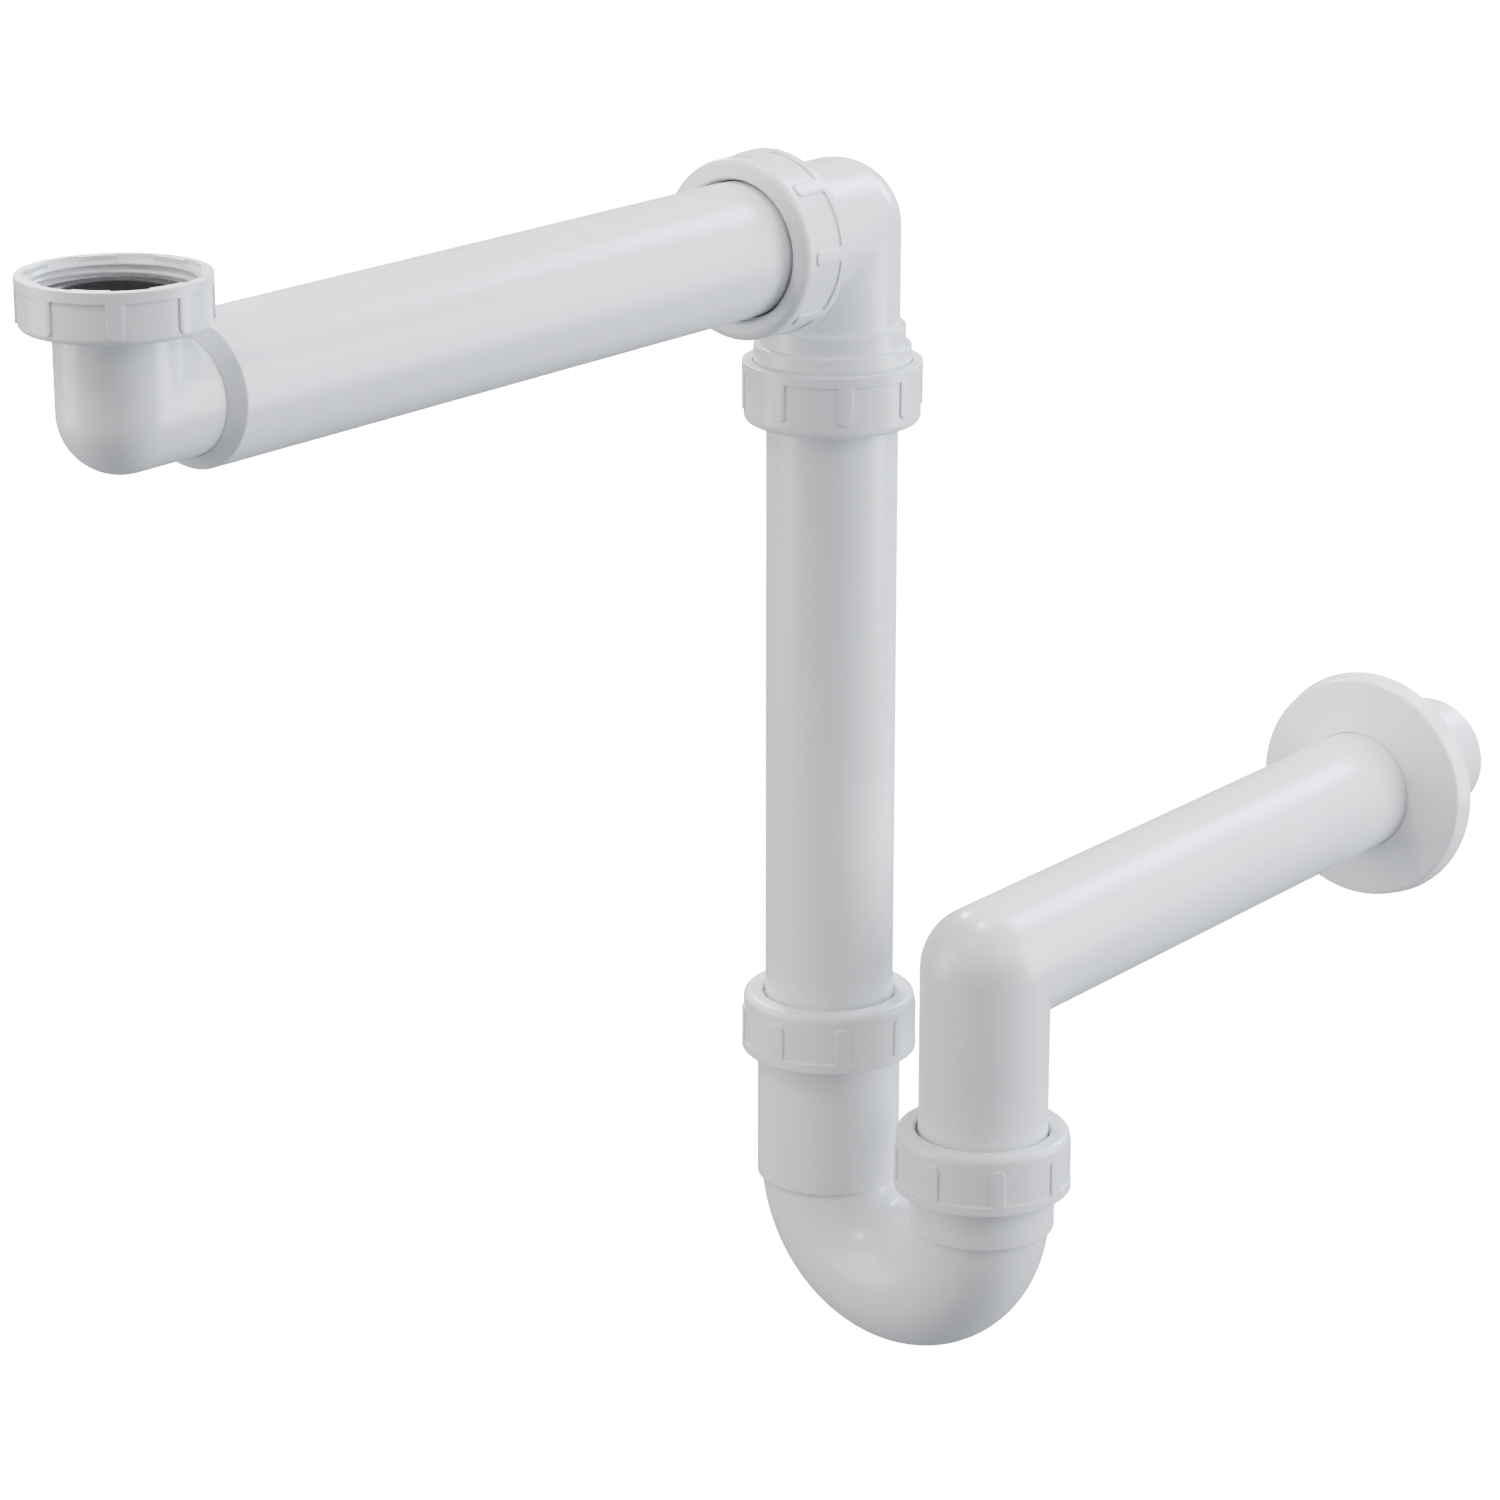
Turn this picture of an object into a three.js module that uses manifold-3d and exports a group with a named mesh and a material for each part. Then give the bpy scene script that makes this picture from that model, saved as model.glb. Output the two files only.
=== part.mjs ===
// Space-saving basin P trap in white polypropylene, DN40, built from slip-and-nut joints.
//
// Millimetres, +Z up. The origin is the centre of the seat where the basin waste
// stands on the inlet gasket. The inlet arm runs towards +Y, the drop tube hangs at
// its far end, the U bend turns towards +X and the outlet arm runs on towards +Y
// into the wall.

import * as THREE from 'three';
import { mergeVertices } from 'three/addons/utils/BufferGeometryUtils.js';
import Module from 'manifold-3d';

const wasm = await Module();
wasm.setup();

// ---------------------------------------------------------------- driving dimensions

// Wide pipe, and how much narrower the neck of the inlet elbow is in radius.
const TUBE_R = 20;
const TUBE_WALL = 1.8;
const NECK_STEP = 4;
const NECK_WALL = 1.9;

// The run of the trap.
const ARM_REACH = 300;
const ARM_TO_OUTLET = 220.4;
const TRAP_CENTRES = 63.5;
const TRAP_TURN_DEG = -5.2;
const RISER = 74.3;
const OUTLET_REACH = 272;

// Gap left between pieces that touch, and running clearance of tubes in their sockets.
const GAP = 0.3;
const SOCKET_CLEARANCE = 0.4;

// Compression nuts on the wide pipe, measured from the closed face.
const NUT_LENGTH = 19;
const NUT_WALL = 2.6;
const NUT_WEB = 2.6;
const NUT_ROUND = 2.6;
const RIM_COLLAR = 3.2;
const RIB_COUNT = 8;
const RIB_WIDTH = 4;
const RIB_PROUD = 0.55;
const HOLE_CLEARANCE = 0.6;
const HOLE_BEVEL = 1.2;
const THREAD_CLEARANCE = 0.3;

// Sockets: the wall round the bore, the thread that stands on it and the thread's first edge.
const SOCKET_WALL = 2;
const THREAD_PROUD = 1.5;
const THREAD_LEAD = 0.5;
const CHAMFER = 0.9;

// Slip ring and cone seal inside each compression nut.
const SLIP_THICK = 2;
const SEAL_HEAD = 2;
const SEAL_NOSE = 3;
const SEAL_NOSE_WALL = 0.6;
const SEAL_TAPER = 0.5;

// Inlet nut, gasket and the flange of the inlet elbow.
const FLANGE_PROUD = 3.2;
const FLANGE_THICK = 2.8;
const INLET_THREAD_PAST_FLANGE = 1.75;
const INLET_NUT_WALL = 3;
const INLET_NUT_WEB = 2.4;
const INLET_NUT_ROUND = 1.6;
const INLET_RIM_ABOVE_SEAT = 5;
const INLET_RIM_COLLAR = 3;
const INLET_NUT_ABOVE_ARM = 1.7;
const GASKET_THICK = 2.8;
const GASKET_PAST_BORE = 0.5;
const RIM_POCKETS = 7;
const RIM_POCKET_DEPTH = 0.9;
const RIM_POCKET_WALL = 1.4;
const RIM_POCKET_START_DEG = 4.3;

// Inlet arm: the cone that narrows it to the neck, and how deep the neck is pushed in.
const CONE_PAST_NECK = 5.7;
const CONE_LENGTH = 3.7;
const NECK_SOCKET = 20;

// Top elbow: its round body, how far past the body each pipe stops, how far each nut's
// closed face is from that stop, and how far the threads run past the nuts.
const TOP_PROUD = 0.35;
const TOP_WALL = 1.95;
const ARM_STOP_PAST_BODY = 9.25;
const ARM_SOCKET = 18.9;
const ARM_THREAD_PAST_NUT = 1;
const DROP_STOP_PAST_BODY = 11.55;
const DROP_SOCKET = 27.7;
const DROP_THREAD_PAST_NUT = 4.2;
const COLLAR_WALL = 1.7;
const COLLAR_PAST_STOP = 2.5;

// Trap bend: its round body, how far each nut's closed face is above the start of the
// bend, how high above it each pipe ends, and how far below it the socket's foot is.
const BEND_PROUD = 1.1;
const BEND_WALL = 2.2;
const TRAP_INLET_SOCKET = 56.8;
const TRAP_OUTLET_SOCKET = 27.4;
const TRAP_THREAD_INSIDE_NUT = 1.5;
const SOCKET_FOOT = 5.1;
const DROP_TUBE_ABOVE_BEND = 17.5;
const RISER_ABOVE_BEND = 4.5;

// Wall rosette, with its place measured back from the end of the outlet arm.
const ROSETTE_FROM_END = 51.9;
const ROSETTE_FACE = 17.6;
const ROSETTE_FLARE = 1.4;
const ROSETTE_DISH = 3.1;
const ROSETTE_DEPTH = 10.2;
const ROSETTE_WALL = 1.8;

// Facets, and how far a cutter or a buried end runs past the face it meets.
const SEGMENTS = 32;
const BEND_STEPS = 12;
const OVERLAP = 0.5;

// ---------------------------------------------------------------- fits worked out

// Radii.
const TUBE_BORE_R = TUBE_R - TUBE_WALL;
const NECK_R = TUBE_R - NECK_STEP;
const NECK_BORE_R = NECK_R - NECK_WALL;
const FLANGE_R = NECK_R + FLANGE_PROUD;
const INLET_THREAD_R = FLANGE_R + INLET_THREAD_PAST_FLANGE;
const SOCKET_BORE_R = TUBE_R + SOCKET_CLEARANCE;
const SOCKET_R = SOCKET_BORE_R + SOCKET_WALL;
const THREAD_R = SOCKET_R + THREAD_PROUD;
const COLLAR_R = SOCKET_BORE_R + COLLAR_WALL;
const TOP_BODY_R = TUBE_R + TOP_PROUD;
const TOP_BORE_R = TOP_BODY_R - TOP_WALL;
const TOP_MID_R = TOP_BODY_R - TOP_WALL / 2;
const BEND_R = TUBE_R + BEND_PROUD;
const BEND_BORE_R = BEND_R - BEND_WALL;
const BEND_MID_R = BEND_R - BEND_WALL / 2;
const NUT_BORE_R = THREAD_R + THREAD_CLEARANCE;
const NUT_BODY_R = NUT_BORE_R + NUT_WALL;
const NUT_HOLE_R = TUBE_R + HOLE_CLEARANCE;

// Stack inside a compression nut, from its closed face.
const SLIP_START = NUT_WEB + GAP;
const SEAL_START = SLIP_START + SLIP_THICK + GAP;
const MOUTH = SEAL_START + SEAL_HEAD + GAP;

// Stack below the seat inside the inlet nut, which stands clear of the arm tube.
const FLANGE_TOP = -(GASKET_THICK + GAP);
const FLANGE_FOOT = FLANGE_TOP - FLANGE_THICK;
const INLET_NUT_FOOT = FLANGE_FOOT - GAP - INLET_NUT_WEB;
const ARM_Z = INLET_NUT_FOOT - INLET_NUT_ABOVE_ARM - TUBE_R;
const CONE_START = NECK_R + CONE_PAST_NECK;

// Top elbow, from its round corner.
const ARM_STOP = TOP_BODY_R + ARM_STOP_PAST_BODY;
const ARM_NUT_FROM_CORNER = ARM_STOP + ARM_SOCKET;
const DROP_STOP = TOP_BODY_R + DROP_STOP_PAST_BODY;
const DROP_NUT_BELOW_ARM = DROP_STOP + DROP_SOCKET;

// Heights on the trap's two legs.
const OUTLET_Z = ARM_Z - ARM_TO_OUTLET;
const RISER_END_Z = OUTLET_Z - RISER;
const BEND_Z = RISER_END_Z - RISER_ABOVE_BEND;
const DROP_TUBE_END_Z = BEND_Z + DROP_TUBE_ABOVE_BEND;

const WHITE = { color: 0xe9ebed, roughness: 0.32, metalness: 0 };
const NUT_WHITE = { color: 0xe2e4e6, roughness: 0.4, metalness: 0 };
const RUBBER = { color: 0x141414, roughness: 0.75, metalness: 0 };

// ---------------------------------------------------------------- solid helpers

// A closed three.js geometry becomes a solid that can be joined and cut.
function solid(geometry) {
  const bare = geometry.clone();
  bare.deleteAttribute('normal');
  bare.deleteAttribute('uv');
  const merged = mergeVertices(bare, 1e-4);
  const vertProperties = new Float32Array(merged.attributes.position.array);
  const triVerts = new Uint32Array(merged.index.array);
  return new wasm.Manifold(new wasm.Mesh({ numProp: 3, vertProperties, triVerts }));
}

// A finished solid becomes a three.js geometry again.
function geometryOf(shape) {
  const mesh = shape.getMesh();
  const geometry = new THREE.BufferGeometry();
  geometry.setAttribute('position', new THREE.BufferAttribute(mesh.vertProperties, 3));
  geometry.setIndex(new THREE.BufferAttribute(mesh.triVerts, 1));
  geometry.computeVertexNormals();
  return geometry;
}

// Outline of [radius, height] points turned about +Z, taken anticlockwise and closed.
function turned(outline) {
  let area = 0;
  outline.forEach(([r, z], i) => {
    const [nextR, nextZ] = outline[(i + 1) % outline.length];
    area += r * nextZ - nextR * z;
  });
  const loop = area > 0 ? [...outline] : [...outline].reverse();
  loop.push(loop[0]);
  const points = loop.map(([r, z]) => new THREE.Vector2(r, z));
  return new THREE.LatheGeometry(points, SEGMENTS).rotateX(Math.PI / 2);
}

// Plain tube from z = low to z = high.
function tubeOutline(bore, radius, low, high) {
  return [[bore, low], [radius, low], [radius, high], [bore, high]];
}

// Rod with one domed end at the origin and its flat end at z = -length.
function domedRod(radius, length) {
  const points = [new THREE.Vector2(0, -length), new THREE.Vector2(radius, -length)];
  const steps = SEGMENTS / 4;
  for (let i = 0; i < steps; i += 1) {
    const angle = (i / steps) * (Math.PI / 2);
    points.push(new THREE.Vector2(radius * Math.cos(angle), radius * Math.sin(angle)));
  }
  points.push(new THREE.Vector2(0, radius));
  return new THREE.LatheGeometry(points, SEGMENTS).rotateX(Math.PI / 2);
}

// Rod along +Y from y = low to y = high.
function rodY(radius, low, high) {
  const rod = new THREE.CylinderGeometry(radius, radius, high - low, SEGMENTS);
  return rod.translate(0, (low + high) / 2, 0);
}

// Round corner with one leg down -Z and one leg along +Y, both meeting at the origin.
function cornerSolid(radius, down, along) {
  return solid(domedRod(radius, down)).add(solid(rodY(radius, 0, along)));
}

// Half turn from the top of one leg, down and up to the top of the other.
class HalfTurn extends THREE.Curve {
  constructor(radius) {
    super();
    this.radius = radius;
  }

  getPoint(t, target = new THREE.Vector3()) {
    const angle = Math.PI * t;
    const x = this.radius * (1 - Math.cos(angle));
    return target.set(x, 0, -this.radius * Math.sin(angle));
  }
}

function bendSolid(radius) {
  const section = new THREE.Shape();
  for (let i = 0; i < SEGMENTS; i += 1) {
    const angle = (i / SEGMENTS) * 2 * Math.PI;
    const x = radius * Math.cos(angle);
    const y = radius * Math.sin(angle);
    if (i === 0) section.moveTo(x, y);
    else section.lineTo(x, y);
  }
  section.closePath();
  const extrudePath = new HalfTurn(TRAP_CENTRES / 2);
  const options = { steps: BEND_STEPS, extrudePath, bevelEnabled: false };
  return solid(new THREE.ExtrudeGeometry(section, options));
}

function meshOf(name, geometry, finish) {
  const mesh = new THREE.Mesh(geometry, new THREE.MeshStandardMaterial(finish));
  mesh.name = name;
  return mesh;
}

// ---------------------------------------------------------------- nuts, rings and seals

// Ribs round a nut, from the shoulder of its closed end to its rim collar.
function ribsSolid(bodyR, low, high, phaseDeg) {
  const inside = RIB_PROUD * 3;
  const depth = inside + RIB_PROUD;
  let ribs = null;
  for (let i = 0; i < RIB_COUNT; i += 1) {
    const angle = THREE.MathUtils.degToRad(phaseDeg + (i * 360) / RIB_COUNT);
    const bar = new THREE.BoxGeometry(depth, RIB_WIDTH, high - low);
    bar.translate(bodyR + RIB_PROUD - depth / 2, 0, (low + high) / 2).rotateZ(angle);
    ribs = ribs ? ribs.add(solid(bar)) : solid(bar);
  }
  return ribs;
}

// Rounded edge of a nut's closed end, from its flat face to its side.
function roundedEdge(bodyR, round) {
  const steps = 3;
  const points = [];
  for (let i = 0; i <= steps; i += 1) {
    const angle = (i / steps) * (Math.PI / 2);
    points.push([bodyR - round + round * Math.sin(angle), round * (1 - Math.cos(angle))]);
  }
  return points;
}

// Compression nut, closed face at z = 0 and open end at z = NUT_LENGTH.
function compressionNut(phaseDeg) {
  const collarR = NUT_BODY_R + RIB_PROUD;
  const collarZ = NUT_LENGTH - RIM_COLLAR;
  const outline = [
    [NUT_HOLE_R, NUT_WEB],
    [NUT_HOLE_R, HOLE_BEVEL],
    [NUT_HOLE_R + HOLE_BEVEL, 0],
    ...roundedEdge(NUT_BODY_R, NUT_ROUND),
    [NUT_BODY_R, collarZ],
    [collarR, collarZ],
    [collarR, NUT_LENGTH],
    [NUT_BORE_R, NUT_LENGTH],
    [NUT_BORE_R, NUT_WEB],
  ];
  const ribs = ribsSolid(NUT_BODY_R, NUT_ROUND, collarZ + OVERLAP, phaseDeg);
  return geometryOf(solid(turned(outline)).add(ribs));
}

// Hard ring that lets the nut turn without dragging the seal round.
function slipRing() {
  const outer = THREAD_R - GAP;
  return turned(tubeOutline(TUBE_R + GAP, outer, SLIP_START, SLIP_START + SLIP_THICK));
}

// Rubber seal whose cone sits in the bevelled mouth of the socket.
function coneSeal() {
  const bore = TUBE_R + GAP;
  const headEnd = SEAL_START + SEAL_HEAD;
  const noseR = bore + SEAL_NOSE_WALL;
  const outer = THREAD_R - GAP * 2;
  const coneR = noseR + SEAL_NOSE * SEAL_TAPER;
  return turned([
    [bore, SEAL_START],
    [outer, SEAL_START],
    [outer, headEnd],
    [coneR, headEnd],
    [noseR, headEnd + SEAL_NOSE],
    [bore, headEnd + SEAL_NOSE],
  ]);
}

// Threaded mouth of a socket, from its bevelled mouth to z = threadEnd.
function mouthOutline(threadEnd, outerEnd, boreEnd) {
  const bevelR = SOCKET_BORE_R + (SEAL_NOSE + 2 * GAP + SEAL_NOSE_WALL) * SEAL_TAPER;
  const bevelEnd = MOUTH + (bevelR - SOCKET_BORE_R) / SEAL_TAPER;
  return [
    [SOCKET_BORE_R, boreEnd],
    [SOCKET_BORE_R, bevelEnd],
    [bevelR, MOUTH],
    [THREAD_R - THREAD_LEAD, MOUTH],
    [THREAD_R, MOUTH + THREAD_LEAD],
    [THREAD_R, threadEnd],
    ...outerEnd,
  ];
}

// ---------------------------------------------------------------- inlet

// Inlet nut: open end up, closed end round the neck of the inlet elbow.
function inletNut() {
  const boreR = INLET_THREAD_R + THREAD_CLEARANCE;
  const bodyR = boreR + INLET_NUT_WALL;
  const length = INLET_RIM_ABOVE_SEAT - INLET_NUT_FOOT;
  const collarZ = length - INLET_RIM_COLLAR;
  const collarR = bodyR + RIB_PROUD;
  const outline = [
    [NECK_R + HOLE_CLEARANCE, INLET_NUT_WEB],
    [NECK_R + HOLE_CLEARANCE, 0],
    ...roundedEdge(bodyR, INLET_NUT_ROUND),
    [bodyR, collarZ],
    [collarR, collarZ],
    [collarR, length],
    [boreR, length],
    [boreR, INLET_NUT_WEB],
  ];
  const ribs = ribsSolid(bodyR, INLET_NUT_ROUND, collarZ + OVERLAP, 0);
  const nut = solid(turned(outline)).add(ribs).subtract(rimPockets(boreR, length));
  return geometryOf(nut).translate(0, 0, INLET_NUT_FOOT);
}

// Shallow pockets cored into the top of the inlet nut's rim, every other one of equal steps.
function rimPockets(boreR, top) {
  const span = Math.PI / RIM_POCKETS;
  const inner = boreR - OVERLAP;
  const outer = boreR + RIM_POCKET_WALL;
  let pockets = null;
  for (let i = 0; i < RIM_POCKETS; i += 1) {
    const start = THREE.MathUtils.degToRad(RIM_POCKET_START_DEG) + i * 2 * span;
    const sector = new THREE.Shape();
    sector.absarc(0, 0, outer, start, start + span, false);
    sector.absarc(0, 0, inner, start + span, start, true);
    sector.closePath();
    const height = RIM_POCKET_DEPTH + OVERLAP;
    const options = { depth: height, bevelEnabled: false, curveSegments: 3 };
    const pocket = new THREE.ExtrudeGeometry(sector, options);
    pocket.translate(0, 0, top - RIM_POCKET_DEPTH);
    pockets = pockets ? pockets.add(solid(pocket)) : solid(pocket);
  }
  return pockets;
}

function inletGasket() {
  const bore = NECK_BORE_R + GASKET_PAST_BORE;
  return turned(tubeOutline(bore, FLANGE_R, -GASKET_THICK, 0));
}

// Inlet elbow: flange under the gasket, round corner and the neck that enters the arm.
function inletElbow() {
  const neckEnd = CONE_START + NECK_SOCKET - GAP;
  const rise = FLANGE_TOP - ARM_Z;
  const flange = solid(turned(tubeOutline(NECK_BORE_R, FLANGE_R, FLANGE_FOOT, FLANGE_TOP)));
  const outer = cornerUp(NECK_R, rise, neckEnd);
  const bore = cornerUp(NECK_BORE_R, rise + OVERLAP, neckEnd + OVERLAP);
  return geometryOf(outer.add(flange).subtract(bore));
}

// Round corner on the inlet arm's axis whose other leg points up.
function cornerUp(radius, up, along) {
  const leg = domedRod(radius, up).rotateX(Math.PI);
  const corner = solid(leg).add(solid(rodY(radius, 0, along)));
  return corner.translate([0, 0, ARM_Z]);
}

// Inlet arm: a wide tube whose near end narrows to hold the neck of the elbow.
function armTube() {
  const farEnd = ARM_REACH - ARM_STOP - GAP;
  const socketEnd = CONE_START + NECK_SOCKET;
  const mouthR = NECK_R + GAP;
  const tube = turned([
    [mouthR, CONE_START],
    [TUBE_R, CONE_START + CONE_LENGTH],
    [TUBE_R, farEnd],
    [TUBE_BORE_R, farEnd],
    [TUBE_BORE_R, socketEnd],
    [mouthR, socketEnd],
  ]);
  return tube.rotateX(-Math.PI / 2).translate(0, 0, ARM_Z);
}

// ---------------------------------------------------------------- top elbow and drop tube

// Socket that takes the inlet arm, turned so that its mouth faces the inlet.
function armSocket() {
  const threadEnd = NUT_LENGTH + ARM_THREAD_PAST_NUT;
  const outerEnd = [[TOP_MID_R, threadEnd], [TOP_MID_R, ARM_SOCKET]];
  const outline = mouthOutline(threadEnd, outerEnd, ARM_SOCKET);
  return turned(outline).rotateX(-Math.PI / 2).translate(0, -ARM_NUT_FROM_CORNER, 0);
}

// Socket that takes the drop tube, with the thread's end collar and a smaller collar above.
function dropSocket() {
  const threadEnd = NUT_LENGTH + DROP_THREAD_PAST_NUT;
  const collarEnd = DROP_SOCKET + COLLAR_PAST_STOP;
  const outerEnd = [
    [THREAD_R - CHAMFER, threadEnd + CHAMFER],
    [COLLAR_R, threadEnd + CHAMFER],
    [COLLAR_R, collarEnd - CHAMFER],
    [COLLAR_R - CHAMFER, collarEnd],
    [TOP_MID_R, collarEnd],
    [TOP_MID_R, DROP_SOCKET],
  ];
  const outline = mouthOutline(threadEnd, outerEnd, DROP_SOCKET);
  return turned(outline).translate(0, 0, -DROP_NUT_BELOW_ARM);
}

// Top elbow, with both sockets on one round corner.
function topElbow() {
  const body = cornerSolid(TOP_BODY_R, DROP_STOP, ARM_STOP);
  const bore = cornerSolid(TOP_BORE_R, ARM_NUT_FROM_CORNER, ARM_NUT_FROM_CORNER);
  const turn = [0, 0, 180];
  const hollow = body.subtract(bore).rotate(turn);
  const elbow = hollow.add(solid(armSocket())).add(solid(dropSocket()));
  return geometryOf(elbow).translate(0, ARM_REACH, ARM_Z);
}

function dropTube() {
  const top = ARM_Z - DROP_STOP - GAP;
  const outline = tubeOutline(TUBE_BORE_R, TUBE_R, DROP_TUBE_END_Z, top);
  return turned(outline).translate(0, ARM_REACH, 0);
}

// ---------------------------------------------------------------- trap bend and outlet

// Upright socket of the trap bend, its nut's closed face at the given height above the bend.
function trapSocket(height) {
  const foot = height + SOCKET_FOOT;
  const threadEnd = NUT_LENGTH - TRAP_THREAD_INSIDE_NUT;
  const outerEnd = [
    [SOCKET_R, threadEnd + CHAMFER],
    [SOCKET_R, foot - CHAMFER],
    [SOCKET_R - CHAMFER, foot],
    [BEND_MID_R, foot],
    [BEND_MID_R, height],
  ];
  const flipped = turned(mouthOutline(threadEnd, outerEnd, height)).rotateX(Math.PI);
  return flipped.translate(0, 0, BEND_Z + height);
}

// U bend with a socket on each leg, in the trap's own frame with the drop tube on its axis.
function trapBend() {
  const inletSocket = solid(trapSocket(TRAP_INLET_SOCKET));
  const outletSocket = solid(trapSocket(TRAP_OUTLET_SOCKET).translate(TRAP_CENTRES, 0, 0));
  const place = [0, 0, BEND_Z];
  const outer = bendSolid(BEND_R).translate(place);
  const bore = bendSolid(BEND_BORE_R).translate(place);
  const reliefR = BEND_BORE_R + GAP;
  const relief = new THREE.CylinderGeometry(reliefR, reliefR, 2 * OVERLAP, SEGMENTS);
  const entry = solid(relief.rotateX(Math.PI / 2)).translate(place);
  const ways = bore.add(entry).add(entry.translate([TRAP_CENTRES, 0, 0]));
  return geometryOf(outer.add(inletSocket).add(outletSocket).subtract(ways));
}

// Outlet pipe: riser, round corner and the arm to the wall, with the riser on its axis.
function outletPipe() {
  const outer = cornerSolid(TUBE_R, RISER, OUTLET_REACH);
  const bore = cornerSolid(TUBE_BORE_R, RISER + OVERLAP, OUTLET_REACH + OVERLAP);
  return geometryOf(outer.subtract(bore)).translate(0, 0, OUTLET_Z);
}

// Wall rosette: dished cover with a turned rim and a collar that grips the outlet arm.
function wallRosette() {
  const bore = TUBE_R + SOCKET_CLEARANCE;
  const collarR = bore + ROSETTE_WALL;
  const faceR = TUBE_R + ROSETTE_FACE;
  const rimR = faceR + ROSETTE_FLARE;
  const rosette = turned([
    [bore, 0],
    [faceR, ROSETTE_DISH],
    [rimR, ROSETTE_DEPTH],
    [rimR - ROSETTE_WALL, ROSETTE_DEPTH],
    [faceR - ROSETTE_WALL, ROSETTE_DISH + ROSETTE_WALL],
    [collarR, ROSETTE_WALL],
    [collarR, ROSETTE_DEPTH],
    [bore, ROSETTE_DEPTH],
  ]);
  const along = OUTLET_REACH - ROSETTE_FROM_END;
  return rosette.rotateX(-Math.PI / 2).translate(0, along, OUTLET_Z);
}

// ---------------------------------------------------------------- assembly

// Nut, slip ring and seal of one compression joint, stacked from the nut's closed face at +Z.
function joint(name, phaseDeg) {
  const group = new THREE.Group();
  group.add(meshOf(`${name}_nut`, compressionNut(phaseDeg), NUT_WHITE));
  group.add(meshOf(`${name}_slip_ring`, slipRing(), WHITE));
  group.add(meshOf(`${name}_seal`, coneSeal(), RUBBER));
  return group;
}

function inletGroup() {
  const group = new THREE.Group();
  group.add(meshOf('inlet_nut', inletNut(), NUT_WHITE));
  group.add(meshOf('inlet_gasket', inletGasket(), RUBBER));
  group.add(meshOf('inlet_elbow', inletElbow(), WHITE));
  group.add(meshOf('arm_tube', armTube(), WHITE));
  return group;
}

function topGroup() {
  const group = new THREE.Group();
  group.add(meshOf('top_elbow', topElbow(), WHITE));
  group.add(meshOf('drop_tube', dropTube(), WHITE));
  const armJoint = joint('arm', 0);
  armJoint.rotation.x = -Math.PI / 2;
  armJoint.position.set(0, ARM_REACH - ARM_NUT_FROM_CORNER, ARM_Z);
  const dropJoint = joint('drop', 0);
  dropJoint.position.set(0, ARM_REACH, ARM_Z - DROP_NUT_BELOW_ARM);
  group.add(armJoint, dropJoint);
  return group;
}

// The trap bend is turned a little about the drop tube. Its nuts and the outlet arm are
// turned back square to the inlet arm.
function trapGroup() {
  const turn = THREE.MathUtils.degToRad(TRAP_TURN_DEG);
  const group = new THREE.Group();
  group.position.set(0, ARM_REACH, 0);
  group.rotation.z = turn;
  group.add(meshOf('trap_bend', trapBend(), WHITE));
  const inletJoint = joint('trap_inlet', TRAP_TURN_DEG);
  inletJoint.rotation.x = Math.PI;
  inletJoint.position.set(0, 0, BEND_Z + TRAP_INLET_SOCKET);
  const outletJoint = joint('trap_outlet', TRAP_TURN_DEG);
  outletJoint.rotation.x = Math.PI;
  outletJoint.position.set(TRAP_CENTRES, 0, BEND_Z + TRAP_OUTLET_SOCKET);
  const outlet = new THREE.Group();
  outlet.position.set(TRAP_CENTRES, 0, 0);
  outlet.rotation.z = -turn;
  outlet.add(meshOf('outlet_pipe', outletPipe(), WHITE));
  outlet.add(meshOf('wall_rosette', wallRosette(), WHITE));
  group.add(inletJoint, outletJoint, outlet);
  return group;
}

const trap = new THREE.Group();
trap.add(inletGroup(), topGroup(), trapGroup());

export default trap;
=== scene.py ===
# %% [markdown]
# # A space-saving basin trap, skinned over its fixed frame
#
# The trap is white polypropylene pipe and moulded fittings, held together by nuts. Its
# solids, joints and mounts are already settled, so this lesson only makes the surfaces: smooth
# round walls, threads, ribs and rounded edges, in plastics and rubbers that catch the light as
# the real ones do. Sections are drawn in millimetres, and `MM` turns them into metres.

# %% Load the fixed frame
import math

import bmesh
import bpy
import numpy as np
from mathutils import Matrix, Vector


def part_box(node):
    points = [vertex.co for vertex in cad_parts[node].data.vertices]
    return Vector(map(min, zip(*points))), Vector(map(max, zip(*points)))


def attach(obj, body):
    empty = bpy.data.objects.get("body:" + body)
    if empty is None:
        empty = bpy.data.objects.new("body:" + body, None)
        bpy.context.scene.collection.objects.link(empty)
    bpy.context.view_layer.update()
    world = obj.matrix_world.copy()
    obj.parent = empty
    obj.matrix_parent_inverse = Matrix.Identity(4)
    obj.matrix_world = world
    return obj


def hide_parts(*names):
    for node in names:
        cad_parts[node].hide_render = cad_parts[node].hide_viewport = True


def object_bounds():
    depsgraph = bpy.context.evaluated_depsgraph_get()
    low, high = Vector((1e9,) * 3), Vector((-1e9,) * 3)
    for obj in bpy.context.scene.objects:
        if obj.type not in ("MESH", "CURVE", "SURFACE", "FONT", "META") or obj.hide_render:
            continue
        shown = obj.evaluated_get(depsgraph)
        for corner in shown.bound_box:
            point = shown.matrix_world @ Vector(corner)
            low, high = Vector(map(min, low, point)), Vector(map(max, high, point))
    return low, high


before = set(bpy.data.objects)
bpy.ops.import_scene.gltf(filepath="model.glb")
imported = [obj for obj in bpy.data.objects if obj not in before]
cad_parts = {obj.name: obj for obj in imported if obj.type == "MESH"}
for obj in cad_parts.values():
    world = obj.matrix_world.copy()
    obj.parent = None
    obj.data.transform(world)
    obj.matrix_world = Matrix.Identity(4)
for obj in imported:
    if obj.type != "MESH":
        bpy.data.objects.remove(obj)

MM = 0.001
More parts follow.
